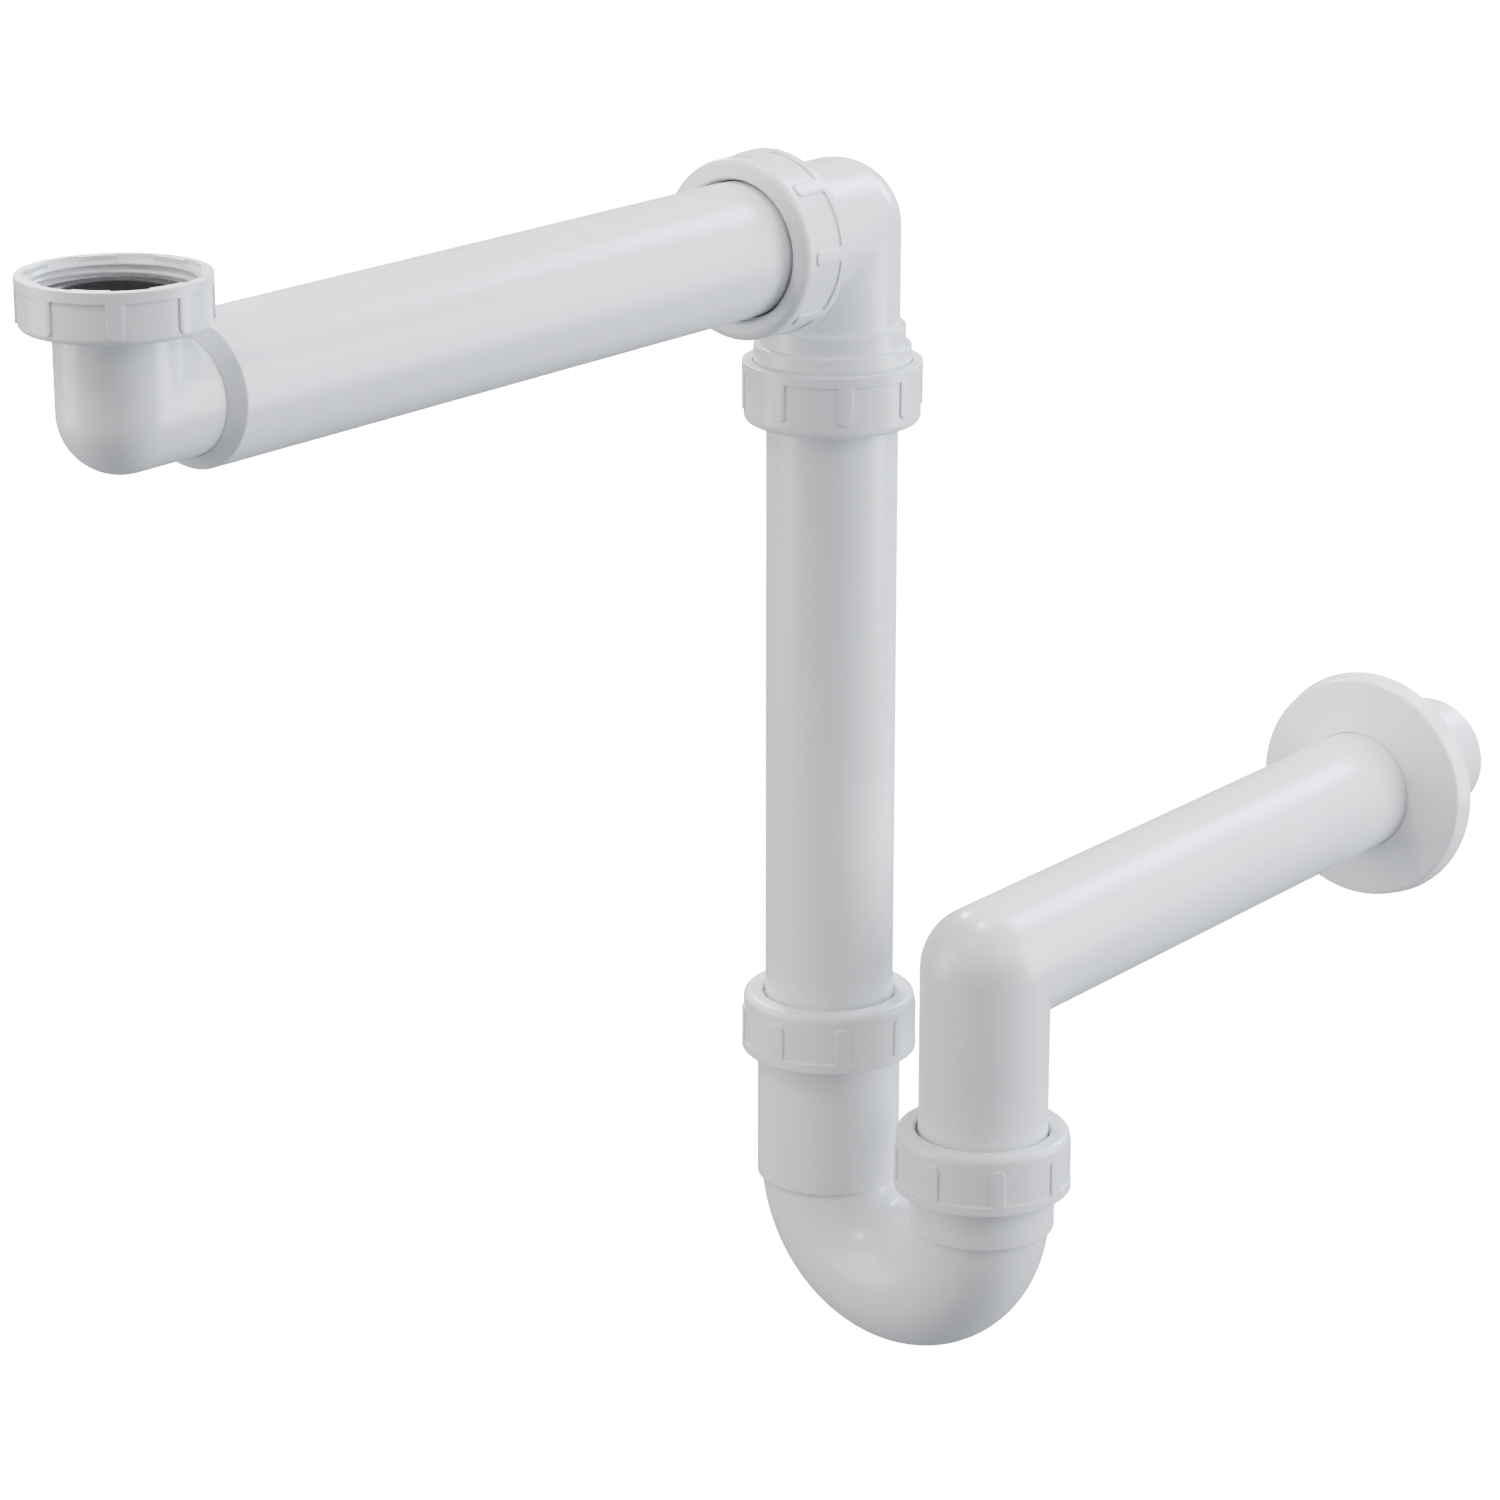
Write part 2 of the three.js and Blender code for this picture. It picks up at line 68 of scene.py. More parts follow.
cad_low, cad_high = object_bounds()
print("solids span", [round((b - a) / MM, 1) for a, b in zip(cad_low, cad_high)], "mm")

# %% [markdown]
# ## Where the axes run
#
# Three straight axes and one round bend carry the whole trap. Typing their places in again
# would let them drift from the solids, so they are read off the boxes of the nodes: the drop
# tube gives its own axis and the pipe's radius, the inlet arm its height, and the outlet pipe,
# which starts in a round corner of the pipe's own radius, gives the riser's axis.

# %% Axes and heights read from the boxes


def box_of(node):
    """Lowest and highest corner of a node as arrays."""
    low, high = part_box(node)
    return np.array(low), np.array(high)


drop_low, drop_high = box_of("drop_tube")
arm_low, arm_high = box_of("arm_tube")
outlet_low, outlet_high = box_of("outlet_pipe")
bend_low, _ = box_of("trap_bend")

PIPE_R = (drop_high[0] - drop_low[0]) / 2
drop_axis = (drop_low + drop_high) / 2
arm_z = (arm_low[2] + arm_high[2]) / 2
outlet_z = outlet_high[2] - PIPE_R
riser_axis = np.array([(outlet_low[0] + outlet_high[0]) / 2, outlet_low[1] + PIPE_R, 0.0])
legs_apart = riser_axis - drop_axis
legs_apart[2] = 0.0
BEND_SWEEP_R = np.linalg.norm(legs_apart) / 2
across_trap = legs_apart / (2 * BEND_SWEEP_R)
print("pipe radius", round(PIPE_R / MM, 2), "mm, legs", round(2 * BEND_SWEEP_R / MM, 2), "mm apart")

# %% [markdown]
# ## Skins of rings
#
# Every part of a trap is a round wall: a pipe, a socket, a nut. Its section is a closed loop of
# corners, given as a distance along the part's axis and a radius, and each ring of the skin
# stands at one point of that loop. The loop goes out along the outside, turns over the end and
# comes back along the bore, so the skin closes on itself with no caps to make.
#
# A Bevel modifier could round the corners, but it would treat each edge alike. Rounding the
# section gives each corner its own radius, and one more point close to each rounding keeps the
# long flat walls from being shaded by it.

# %% Round a section
LONGEST_ROUND = 0.46
STRAIGHT = math.radians(178)


def rounded(*corners, steps=4):
    """Closed loop of (along, radius, edge) from corners of (along, radius, round), in millimetres."""
    points = []
    count = len(corners)
    for i, (s, r, fillet) in enumerate(corners):
        here = np.array([s, r], float)
        before = np.array(corners[i - 1][:2], float) - here
        after = np.array(corners[(i + 1) % count][:2], float) - here
        reach_before, reach_after = np.linalg.norm(before), np.linalg.norm(after)
        before, after = before / reach_before, after / reach_after
        opening = math.acos(np.clip(before @ after, -1, 1))
        if fillet <= 0 or opening > STRAIGHT:
            points.append((s, r, 0.0))
            continue
        longest = LONGEST_ROUND * min(reach_before, reach_after)
        reach = min(fillet / math.tan(opening / 2), longest)
        radius = reach * math.tan(opening / 2)
        middle = here + (before + after) / np.linalg.norm(before + after) * radius / math.sin(opening / 2)
        start, end = here + before * reach - middle, here + after * reach - middle
        turn = math.atan2(start[0] * end[1] - start[1] * end[0], start @ end)
        support = min(0.4 * fillet, 0.1 * reach_before, 0.1 * reach_after)
        points.append((*(here + before * (reach + support)), 0.0))
        for k in range(steps + 1):
            angle = turn * k / steps
            c, n = math.cos(angle), math.sin(angle)
            points.append((*(middle + [c * start[0] - n * start[1], n * start[0] + c * start[1]]), 1.0))
        points.append((*(here + after * (reach + support)), 0.0))
    return points


# %% Put data in the scene


def placed(name, data):
    """Object that holds a mesh, a lamp or a camera, linked to the scene."""
    made = bpy.data.objects.new(name, data)
    bpy.context.scene.collection.objects.link(made)
    return made


# %% Turn rings of points into a closed mesh object
WELD = 0.002 * MM


def skin(name, rings, flows, edges):
    """Closed mesh object from a loop of rings, with the attributes `flow` and `edge`."""
    rings, flows = np.array(rings), np.array(flows)
    rows, sides = rings.shape[:2]
    index = np.arange(rows * sides).reshape(rows, sides)
    low, high = index, np.roll(index, -1, axis=0)
    quads = np.stack([low, np.roll(low, -1, axis=1), np.roll(high, -1, axis=1), high], axis=-1)
    points = rings.reshape(-1, 3)
    quads = quads.reshape(-1, 4)
    a, b, c, d = (points[quads[:, k]] for k in range(4))
    volume = np.einsum("ij,ij->i", a, np.cross(b, c) + np.cross(c, d)).sum()
    if volume < 0:
        quads = quads[:, ::-1]
    mesh = bpy.data.meshes.new(name)
    mesh.from_pydata(points.tolist(), [], quads.tolist())
    flow = mesh.attributes.new("flow", "FLOAT_VECTOR", "POINT")
    flow.data.foreach_set("vector", flows.reshape(-1).astype(np.float32))
    edge = mesh.attributes.new("edge", "FLOAT", "POINT")
    edge.data.foreach_set("value", np.repeat(edges, sides).astype(np.float32))
    shape = bmesh.new()
    shape.from_mesh(mesh)
    bmesh.ops.remove_doubles(shape, verts=shape.verts, dist=WELD)
    bmesh.ops.dissolve_degenerate(shape, dist=WELD / 2, edges=shape.edges)
    shape.to_mesh(mesh)
    shape.free()
    return placed(name, mesh)


# %% [markdown]
# ## Straight walls, round corners and the U bend
#
# A straight part is turned about one axis. An elbow has two legs, and its ball-shaped corner
# is a ring that pivots about the point where the axes cross: the outer half of the ring sweeps
# out a sphere, while the inner half stays where the two pipes meet and makes the sharp crease
# that such elbows have inside. The U bend moves its ring round half a circle. One routine
# makes all three, because only the way from one leg to the other differs.

# %% Place rings along a straight or cornered route
SIDES = 96
CORNER_STEPS = 18
RETURN_STEPS = 48


def unit(v):
    v = np.array(v, float)
    return v / np.linalg.norm(v)


def circle(sides):
    """Cosine and sine of every point round a ring, as columns."""
    angle = np.arange(sides) * 2 * math.pi / sides
    return np.cos(angle)[:, None], np.sin(angle)[:, None]


def turned(name, start, along, loop, sides=SIDES):
    """Round part about one axis, its loop measured in millimetres from `start`."""
    along = unit(along)
    side = unit(np.cross(along, (0.31, 0.87, 0.12)))
    third = np.cross(along, side)
    c, n = circle(sides)
    rings, flows, edges = [], [], []
    for s, r, edge in loop:
        s, r = s * MM, r * MM
        rings.append(np.array(start) + along * s + r * (c * side + n * third))
        flows.append(np.hstack([r * c, r * n, np.full_like(c, s)]))
        edges.append(edge)
    return skin(name, rings, flows, edges)


def route(name, corner, leg_a, leg_b, loop, sweep=0.0):
    """Part with two legs. The loop holds (leg, along, radius, edge), along measured from the corner.
    Legs at right angles meet in a ball. Legs side by side, `sweep` from the middle, in a half circle.
    Then `leg_a` is the way up both legs and `leg_b` the way across from the first to the second."""
    leg_a, leg_b = unit(leg_a), unit(leg_b)
    third = np.cross(leg_a, leg_b)
    returning = sweep > 0
    c, n = circle(SIDES)
    turn_length = math.pi * sweep
    rings, flows, edges = [], [], []

    def add(centre, inner, s, r, edge):
        rings.append(centre + r * (c * inner + n * third))
        flows.append(np.hstack([r * c, r * n, np.full_like(c, s)]))
        edges.append(edge)

    def straight(leg, s, r, edge):
        sign = -1 if leg == "a" else 1
        if returning:
            centre = corner + sign * sweep * leg_b + s * leg_a
            add(centre, -sign * leg_b, sign * (s + turn_length / 2), r, edge)
            return
        axis, inward = (leg_a, leg_b) if leg == "a" else (leg_b, leg_a)
        reach = np.maximum(s, r * c)
        rings.append(corner + reach * axis + r * (c * inward + n * third))
        flows.append(np.hstack([r * c, r * n, sign * reach]))
        edges.append(edge)

    def corner_ring(share, r):
        turn = share * math.pi / 2
        inner = math.cos(turn) * leg_b + math.sin(turn) * leg_a
        mitre = corner + r * c * (leg_a + leg_b) + r * n * third
        ball = corner + r * (c * inner + n * third)
        rings.append(np.where(c > 0, mitre, ball))
        flows.append(np.hstack([r * c, r * n, np.full_like(c, (share - 0.5) * r)]))
        edges.append(0.0)

    def return_ring(share, r):
        turn = share * math.pi
        out = -math.cos(turn) * leg_b - math.sin(turn) * leg_a
        add(corner + sweep * out, -out, (share - 0.5) * turn_length, r, 0.0)

    steps = RETURN_STEPS if returning else CORNER_STEPS
    for i, (leg, s, r, edge) in enumerate(loop):
        straight(leg, s * MM, r * MM, edge)
        following = loop[(i + 1) % len(loop)]
        if following[0] != leg:
            shares = np.linspace(0, 1, steps + 1)
            if not returning:
                straight(leg, 0.0, r * MM, 0.0)
            for share in shares if leg == "a" else shares[::-1]:
                (return_ring if returning else corner_ring)(share, r * MM)
            if not returning:
                straight(following[0], 0.0, r * MM, 0.0)
    return skin(name, rings, flows, edges)


def opened(corners):
    """Rounded points of a run of corners whose two ends stay where they are."""
    first, last = corners[0], corners[-1]
    return [(*first[:2], 0.0)] + rounded(*corners)[1:-1] + [(*last[:2], 0.0)]


def legs(a_corners, b_corners):
    """One loop from the outside and bore of two legs: each leg is a list of (along, radius, round)
    that starts on the outside at the corner and ends on the bore at the corner."""
    return [("a", *p) for p in opened(a_corners)] + [("b", *p) for p in opened(b_corners)[::-1]]


# %% [markdown]
# ## Graphs written as sums
#
# Both the geometry trees and the materials are graphs of nodes. Wiring a sum node by node hides
# what it says, so a wire here knows Python's own signs: `1 - mask` adds the Math node that does
# it. Every other node comes from one method that sets the node's own settings first, because
# they change which sockets it has, and then its values and links.

# %% Wires and graphs


class Wire:
    """An output socket that can be used in sums."""

    def __init__(self, graph, socket):
        self.graph, self.socket = graph, socket

    def __add__(self, other):
        return self.graph.maths("ADD", self, other)

    def __radd__(self, other):
        return self.graph.maths("ADD", other, self)

    def __sub__(self, other):
        return self.graph.maths("SUBTRACT", self, other)

    def __rsub__(self, other):
        return self.graph.maths("SUBTRACT", other, self)

    def __mul__(self, other):
        return self.graph.maths("MULTIPLY", self, other)

    def __rmul__(self, other):
        return self.graph.maths("MULTIPLY", other, self)

    def __truediv__(self, other):
        return self.graph.maths("DIVIDE", self, other)

    def between(self, low, high):
        """0 below low, 1 above high and smooth from one to the other."""
        return self.graph.node(
            "ShaderNodeMapRange", {"interpolation_type": "SMOOTHSTEP"},
            {"Value": self, "From Min": low, "From Max": high},
        )


class Graph:
    """A node tree that is built by what it computes."""

    def __init__(self, tree):
        self.tree = tree
        self.tree.nodes.clear()

    def node(self, kind, settings=None, inputs=None, output=0):
        made = self.tree.nodes.new(kind)
        for name, value in (settings or {}).items():
            setattr(made, name, value)
        for name, value in (inputs or {}).items():
            if isinstance(value, Wire):
                self.tree.links.new(value.socket, made.inputs[name])
            else:
                made.inputs[name].default_value = value
        return Wire(self, made.outputs[output]) if made.outputs else None

    def maths(self, operation, *values):
        return self.node("ShaderNodeMath", {"operation": operation}, dict(enumerate(values)))

    def vectors(self, operation, *values):
        return self.node("ShaderNodeVectorMath", {"operation": operation}, dict(enumerate(values)))

    def vector(self, x, y, z):
        return self.node("ShaderNodeCombineXYZ", None, {"X": x, "Y": y, "Z": z})


# %% [markdown]
# ## Plastics and rubbers
#
# Polypropylene is a soft white plastic with a satin face. Up close an extruded pipe has faint
# draw lines along its length, a moulded fitting a fine orange peel and pale flow marks, and both
# pick up scuffs where hands and spanners touch them, most of all along edges. A smooth white
# would look like paint, so every finish is built from the same few layers: a slow mottle in
# colour, a fine relief, patches that are a little less glossy, and worn edges.

# %% A finish from layers
PLASTIC_IOR = 1.49
RELIEF_DEPTH = 0.05 * MM
LINE_STRETCH = 0.012
RUB_STRETCH = 0.05


def finish(name, colour, roughness, grain, mottle=0.03, drawn=0.0, scuff=0.1, worn=0.06, peel=0.12):
    """Plastic or rubber. `grain` is the size of its relief in metres, `mottle` how far its colour
    strays, and `drawn`, `scuff`, `worn` and `peel` the strength of draw lines, rubbing, edge wear
    and orange peel."""
    material = bpy.data.materials.new(name)
    material.use_nodes = True
    graph = Graph(material.node_tree)
    place = graph.node("ShaderNodeTexCoord", output="Object")
    flow = graph.node("ShaderNodeAttribute", {"attribute_name": "flow"}, output="Vector")
    edge = graph.node("ShaderNodeAttribute", {"attribute_name": "edge"}, output="Fac")

    def noise(where, scale, detail=2.0, rough=0.5):
        return graph.node(
            "ShaderNodeTexNoise", {"noise_dimensions": "3D"},
            {"Vector": where, "Scale": scale, "Detail": detail, "Roughness": rough},
        )

    cloud = noise(place, 22.0, 3.0)
    haze = noise(place, 75.0, 4.0, 0.6)
    fine = noise(place, 1.0 / grain, 3.0, 0.6)
    long_way = graph.vectors("MULTIPLY", flow, (1.0, 1.0, LINE_STRETCH))
    lines = noise(long_way, 2400.0, 2.0, 0.6)
    rubbed = graph.vectors("MULTIPLY", flow, (1.0, 1.0, RUB_STRETCH))
    scratches = noise(rubbed, 1300.0, 3.0, 0.6).between(0.62, 0.74) * haze.between(0.5, 0.62)
    touched = edge * haze.between(0.35, 0.7)
    shade = graph.node(
        "ShaderNodeMix", {"data_type": "RGBA"},
        {
            0: (cloud - 0.5) * 0.9 + 0.5,
            6: (*[c * (1 - mottle) for c in colour], 1.0),
            7: (*[min(1.0, c * (1 + mottle)) for c in colour], 1.0),
        },
        output=2,
    )
    marked = graph.node(
        "ShaderNodeMix", {"data_type": "RGBA"},
        {
            0: scratches * 0.14 + touched * worn,
            6: shade,
            7: (*[0.5 * c + 0.36 for c in colour], 1.0),
        },
        output=2,
    )
    gloss = haze * 0.12 + (roughness - 0.06) + scratches * scuff + touched * 0.12
    relief = fine * peel + lines * drawn + cloud * 0.4
    normal = graph.node(
        "ShaderNodeBump", None, {"Strength": 0.35, "Distance": RELIEF_DEPTH, "Height": relief}
    )
    shader = graph.node(
        "ShaderNodeBsdfPrincipled", None,
        {"Base Color": marked, "Roughness": gloss, "Normal": normal, "IOR": PLASTIC_IOR},
    )
    graph.node("ShaderNodeOutputMaterial", None, {"Surface": shader})
    return material


WHITE_COLOUR = (0.80, 0.81, 0.82)
extruded = finish("drawn_white_pipe", WHITE_COLOUR, 0.26, 0.0008, drawn=0.5)
moulded = finish("moulded_white_fitting", WHITE_COLOUR, 0.23, 0.0011, peel=0.5)
nut_white = finish("moulded_white_nut", (0.79, 0.80, 0.81), 0.25, 0.0007, peel=0.6, worn=0.12)
glossy = finish("glossy_white_cover", (0.94, 0.945, 0.95), 0.18, 0.0014, mottle=0.015)
rubber = finish("black_rubber", (0.010, 0.010, 0.011), 0.62, 0.0004, 0.25, worn=0.02, scuff=0.2, peel=1.0)
ring_plastic = finish("natural_slip_ring", (0.70, 0.71, 0.69), 0.5, 0.0006, drawn=0.3)
print("finishes:", [m.name for m in bpy.data.materials if m.use_nodes])

# %% [markdown]
# ## Ribs, pockets and threads by rule
#
# Ribs stand round a nut at equal steps, pockets are cored round a rim at equal steps, and a
# thread is one ridge that climbs at an even pitch. Such shapes follow a rule, so Geometry Nodes
# make them. One tree dresses any turned blank: it sinks the pockets into its rim, sets the ribs
# round it and winds the thread, and a count of zero leaves a feature out.
#
# The thread is a strip of grid wrapped into a long closed roll: one way along the grid is the
# climb, the other way goes round the ridge's own section. Both ends shrink to a point, as the
# runout of a moulded thread does.

# %% The tree that dresses a turned blank


def dressing_tree():
    """Geometry tree with named inputs. The blank's axis is +Z."""
    tree = bpy.data.node_groups.new("dress_turned_blank", "GeometryNodeTree")
    face = tree.interface
    face.new_socket("Geometry", in_out="INPUT", socket_type="NodeSocketGeometry")
    sockets = {}
    for label, kind in (
        ("Rib", "NodeSocketObject"), ("Ribs", "NodeSocketInt"),
        ("Pockets", "NodeSocketFloat"), ("Pocket start", "NodeSocketFloat"),
        ("Pocket radius", "NodeSocketFloat"), ("Pocket floor", "NodeSocketFloat"),
        ("Pocket top", "NodeSocketFloat"),
        ("Thread root", "NodeSocketFloat"), ("Thread height", "NodeSocketFloat"),
        ("Thread start", "NodeSocketFloat"), ("Thread turns", "NodeSocketFloat"),
        ("Thread pitch", "NodeSocketFloat"), ("Thread width", "NodeSocketFloat"),
        ("Material", "NodeSocketMaterial"),
    ):
        sockets[label] = face.new_socket(label, in_out="INPUT", socket_type=kind).identifier
    face.new_socket("Geometry", in_out="OUTPUT", socket_type="NodeSocketGeometry")
    graph = Graph(tree)
    entry = tree.nodes.new("NodeGroupInput")
    given = {s.name: Wire(graph, s) for s in entry.outputs if s.name}

    # pockets: sink what is inside the pocket radius and at the top, in every other step
    position = graph.node("GeometryNodeInputPosition")
    apart = tree.nodes.new("ShaderNodeSeparateXYZ")
    tree.links.new(position.socket, apart.inputs[0])
    x, y, z = (Wire(graph, s) for s in apart.outputs)
    radius = graph.maths("SQRT", x * x + y * y)
    steps = (graph.maths("ARCTAN2", y, x) - given["Pocket start"]) * given["Pockets"] / (2 * math.pi)
    inside = graph.maths("LESS_THAN", graph.maths("FRACT", steps + 100.0), 0.5)
    near_top = graph.maths("GREATER_THAN", z, given["Pocket floor"])
    near_bore = graph.maths("LESS_THAN", radius, given["Pocket radius"])
    some = graph.maths("GREATER_THAN", given["Pockets"], 0.5)
    sunk = graph.vector(x, y, given["Pocket floor"] - (given["Pocket top"] - z) * 0.05)
    pocketed = graph.node(
        "GeometryNodeSetPosition", None,
        {"Geometry": given["Geometry"], "Selection": inside * near_top * near_bore * some, "Position": sunk},
    )

    # ribs: copies of one rib, each a step further round
    place = graph.node("GeometryNodePoints", None, {"Count": given["Ribs"]})
    order = graph.node("GeometryNodeInputIndex")
    share = order * (2 * math.pi) / graph.maths("MAXIMUM", given["Ribs"], 1.0)
    rib = graph.node("GeometryNodeObjectInfo", None, {"Object": given["Rib"]}, output="Geometry")
    ribs = graph.node(
        "GeometryNodeInstanceOnPoints", None,
        {"Points": place, "Instance": rib, "Rotation": graph.vector(0.0, 0.0, share)},
    )

    # thread: a grid rolled into a ridge that climbs round the axis
    around, section = 72, 9
    columns = graph.node(
        "FunctionNodeFloatToInt", {"rounding_mode": "CEILING"}, {0: given["Thread turns"] * around + 2.0}
    )
    strip = graph.node(
        "GeometryNodeMeshGrid", None,
        {"Size X": 1.0, "Size Y": 1.0, "Vertices X": columns, "Vertices Y": section},
    )
    on_strip = tree.nodes.new("ShaderNodeSeparateXYZ")
    tree.links.new(graph.node("GeometryNodeInputPosition").socket, on_strip.inputs[0])
    climb = (Wire(graph, on_strip.outputs[0]) + 0.5) * given["Thread turns"]
    round_section = (Wire(graph, on_strip.outputs[1]) + 0.5) * (2 * math.pi)
    runout = graph.maths("MINIMUM", climb * 4.0, (given["Thread turns"] - climb) * 4.0)
    full = graph.maths("MINIMUM", graph.maths("MAXIMUM", runout, 0.0), 1.0)
    swing = climb * (2 * math.pi)
    out = given["Thread root"] + given["Thread height"] * full * graph.maths("SINE", round_section)
    lift = given["Thread start"] + given["Thread pitch"] * climb
    lift = lift + given["Thread width"] * full * graph.maths("COSINE", round_section)
    wound_place = graph.vector(out * graph.maths("COSINE", swing), out * graph.maths("SINE", swing), lift)
    rolled = graph.node("GeometryNodeSetPosition", None, {"Geometry": strip, "Position": wound_place})
    thread = graph.node("GeometryNodeMergeByDistance", None, {"Geometry": rolled, "Distance": 0.004 * MM})
    wanted = graph.maths("GREATER_THAN", given["Thread turns"], 0.01)
    wound = graph.node(
        "GeometryNodeSwitch", {"input_type": "GEOMETRY"}, {"Switch": wanted, "True": thread}
    )

    together = tree.nodes.new("GeometryNodeJoinGeometry")
    for part in (wound, ribs, pocketed):
        tree.links.new(part.socket, together.inputs[0])
    real = graph.node("GeometryNodeRealizeInstances", None, {"Geometry": Wire(graph, together.outputs[0])})
    done = graph.node("GeometryNodeSetMaterial", None, {"Geometry": real, "Material": given["Material"]})
    leave = tree.nodes.new("NodeGroupOutput")
    tree.links.new(done.socket, leave.inputs[0])
    return tree, sockets


DRESSING, DRESSING_INPUT = dressing_tree()


# %% Use the tree and keep a plain mesh


def smooth(made, sharp_deg=34):
    """Smooth faces, with a crease wherever they meet at more than the given angle."""
    mesh = made.data
    mesh.polygons.foreach_set("use_smooth", [True] * len(mesh.polygons))
    mesh.set_sharp_from_angle(angle=math.radians(sharp_deg))
    return made


def dressed(blank, material, **inputs):
    """The blank with its rule-made features, as a plain mesh. Inputs are given with _ for a space."""
    modifier = blank.modifiers.new("dress", "NODES")
    modifier.node_group = DRESSING
    values = {"Ribs": 0, "Thread turns": 0.0, "Pockets": 0.0, "Material": material}
    values.update({name.replace("_", " "): value for name, value in inputs.items()})
    for label, value in values.items():
        modifier[DRESSING_INPUT[label]] = value
    blank.update_tag()
    bpy.context.view_layer.update()
    seen = blank.evaluated_get(bpy.context.evaluated_depsgraph_get())
    plain = bpy.data.meshes.new_from_object(seen)
    blank.modifiers.remove(modifier)
    blank.data = plain
    return smooth(blank)


def turn_mesh(made, start, along):
    """Moves a mesh made about +Z to its own axis, leaving its object at the origin."""
    turn = Vector((0, 0, 1)).rotation_difference(Vector(along)).to_matrix().to_4x4()
    turn.translation = Vector(start)
    made.data.transform(turn)
    return made


def keep(made, body, material=None):
    """Rides the piece on its body, stands it in for its solid and names its finish."""
    if material is not None:
        made.data.materials.clear()
        made.data.materials.append(material)
        smooth(made)
    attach(made, body)
    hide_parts(made.name.removeprefix("skin_"))
    places = np.array([v.co for v in made.data.vertices]) / MM
    low, high = places.min(0), places.max(0)
    print(f"{made.name}: {len(made.data.polygons)} faces, {np.round(low, 1)} to {np.round(high, 1)} mm")
    return made


# %% [markdown]
# ## Pipes
#
# The inlet arm, the drop tube and the outlet pipe are 40 mm pipe, cut square with the edge just
# broken. A Curve with a bevel would give the wall but not the cut ends, and these pipes end
# where someone can look in, so they are turned from a section like everything else.

# %% Pipes
PIPE = PIPE_R / MM
PIPE_WALL = 1.8
BORE = PIPE - PIPE_WALL
BROKEN_EDGE = 0.35
NECK = 16.0
NECK_BORE = 14.1

tube_length = (drop_high[2] - drop_low[2]) / MM
drop_tube = turned(
    "skin_drop_tube", (drop_axis[0], drop_axis[1], drop_low[2]), (0, 0, 1),
    rounded(
        (0, PIPE, BROKEN_EDGE), (tube_length, PIPE, BROKEN_EDGE), (tube_length, BORE, 0.2), (0, BORE, 0.2)
    ),
)
keep(drop_tube, "drop_tube", extruded)

arm_length = (arm_high[1] - arm_low[1]) / MM
CONE_LENGTH = 3.7
NECK_SOCKET = 20.0
NECK_GAP = 0.3
arm_tube = turned(
    "skin_arm_tube", (0, arm_low[1], arm_z), (0, 1, 0),
    rounded(
        (0, NECK + 0.03, 0.1), (CONE_LENGTH, PIPE, 0.8), (arm_length, PIPE, BROKEN_EDGE),
        (arm_length, BORE, 0.2), (NECK_SOCKET, BORE, 0.4), (NECK_SOCKET, NECK + NECK_GAP, 0.2),
        (1.5, NECK + NECK_GAP, 0.1),
    ),
)
keep(arm_tube, "inlet_arm", extruded)

riser_length = (outlet_z - outlet_low[2]) / MM
reach_out = (outlet_high[1] - riser_axis[1]) / MM
outlet_corner = np.array([riser_axis[0], riser_axis[1], outlet_z])
OUTLET_BEND_END = 30.0
outlet_pipe = route(
    "skin_outlet_pipe", outlet_corner, (0, 0, -1), (0, 1, 0),
    legs(
        [
            (OUTLET_BEND_END, PIPE, 0), (riser_length, PIPE, BROKEN_EDGE),
            (riser_length, BORE, 0.2), (OUTLET_BEND_END, BORE, 0),
        ],
        [
            (OUTLET_BEND_END, PIPE, 0), (reach_out, PIPE, 0.6),
            (reach_out, BORE, 0.3), (OUTLET_BEND_END, BORE, 0),
        ],
    ),
)
keep(outlet_pipe, "outlet_pipe", extruded)

# %% [markdown]
# ## The inlet elbow
#
# A narrow 32 mm neck hangs from a flange inside the inlet nut, turns in a ball-shaped corner and
# runs into the arm. It is one moulding, so the flange's foot is rounded into the neck.

# %% Inlet elbow
_, elbow_high = box_of("inlet_elbow")
neck_rise = (elbow_high[2] - arm_z) / MM
neck_reach = elbow_high[1] / MM
FLANGE = 19.2
FLANGE_THICK = 2.8
NECK_BEND_END = 18.0
inlet_elbow = route(
    "skin_inlet_elbow", np.array([0, 0, arm_z]), (0, 0, 1), (0, 1, 0),
    legs(
        [
            (NECK_BEND_END, NECK, 0), (neck_rise - FLANGE_THICK, NECK, 0.4),
            (neck_rise - FLANGE_THICK, FLANGE, 0.4), (neck_rise, FLANGE, 0.4),
            (neck_rise, NECK_BORE, 0.4), (NECK_BEND_END, NECK_BORE, 0),
        ],
        [
            (NECK_BEND_END, NECK, 0), (neck_reach, NECK, 0.4),
            (neck_reach, NECK_BORE, 0.2), (NECK_BEND_END, NECK_BORE, 0),
        ],
    ),
)
keep(inlet_elbow, "inlet_arm", moulded)

# %% [markdown]
# ## One rib
#
# A rib is a low pad across the nut with softened long edges. It is rounded off where it meets
# the nut's shoulder and runs into the rim collar at the other end. It is made once, on the +X
# side of the nut, and the tree sets the rest round.

# %% Rib pad
RIB_WIDTH = 4.5
RIB_PROUD = 0.55
RIB_ROUND = 1.6
RIB_SOFT = 0.16


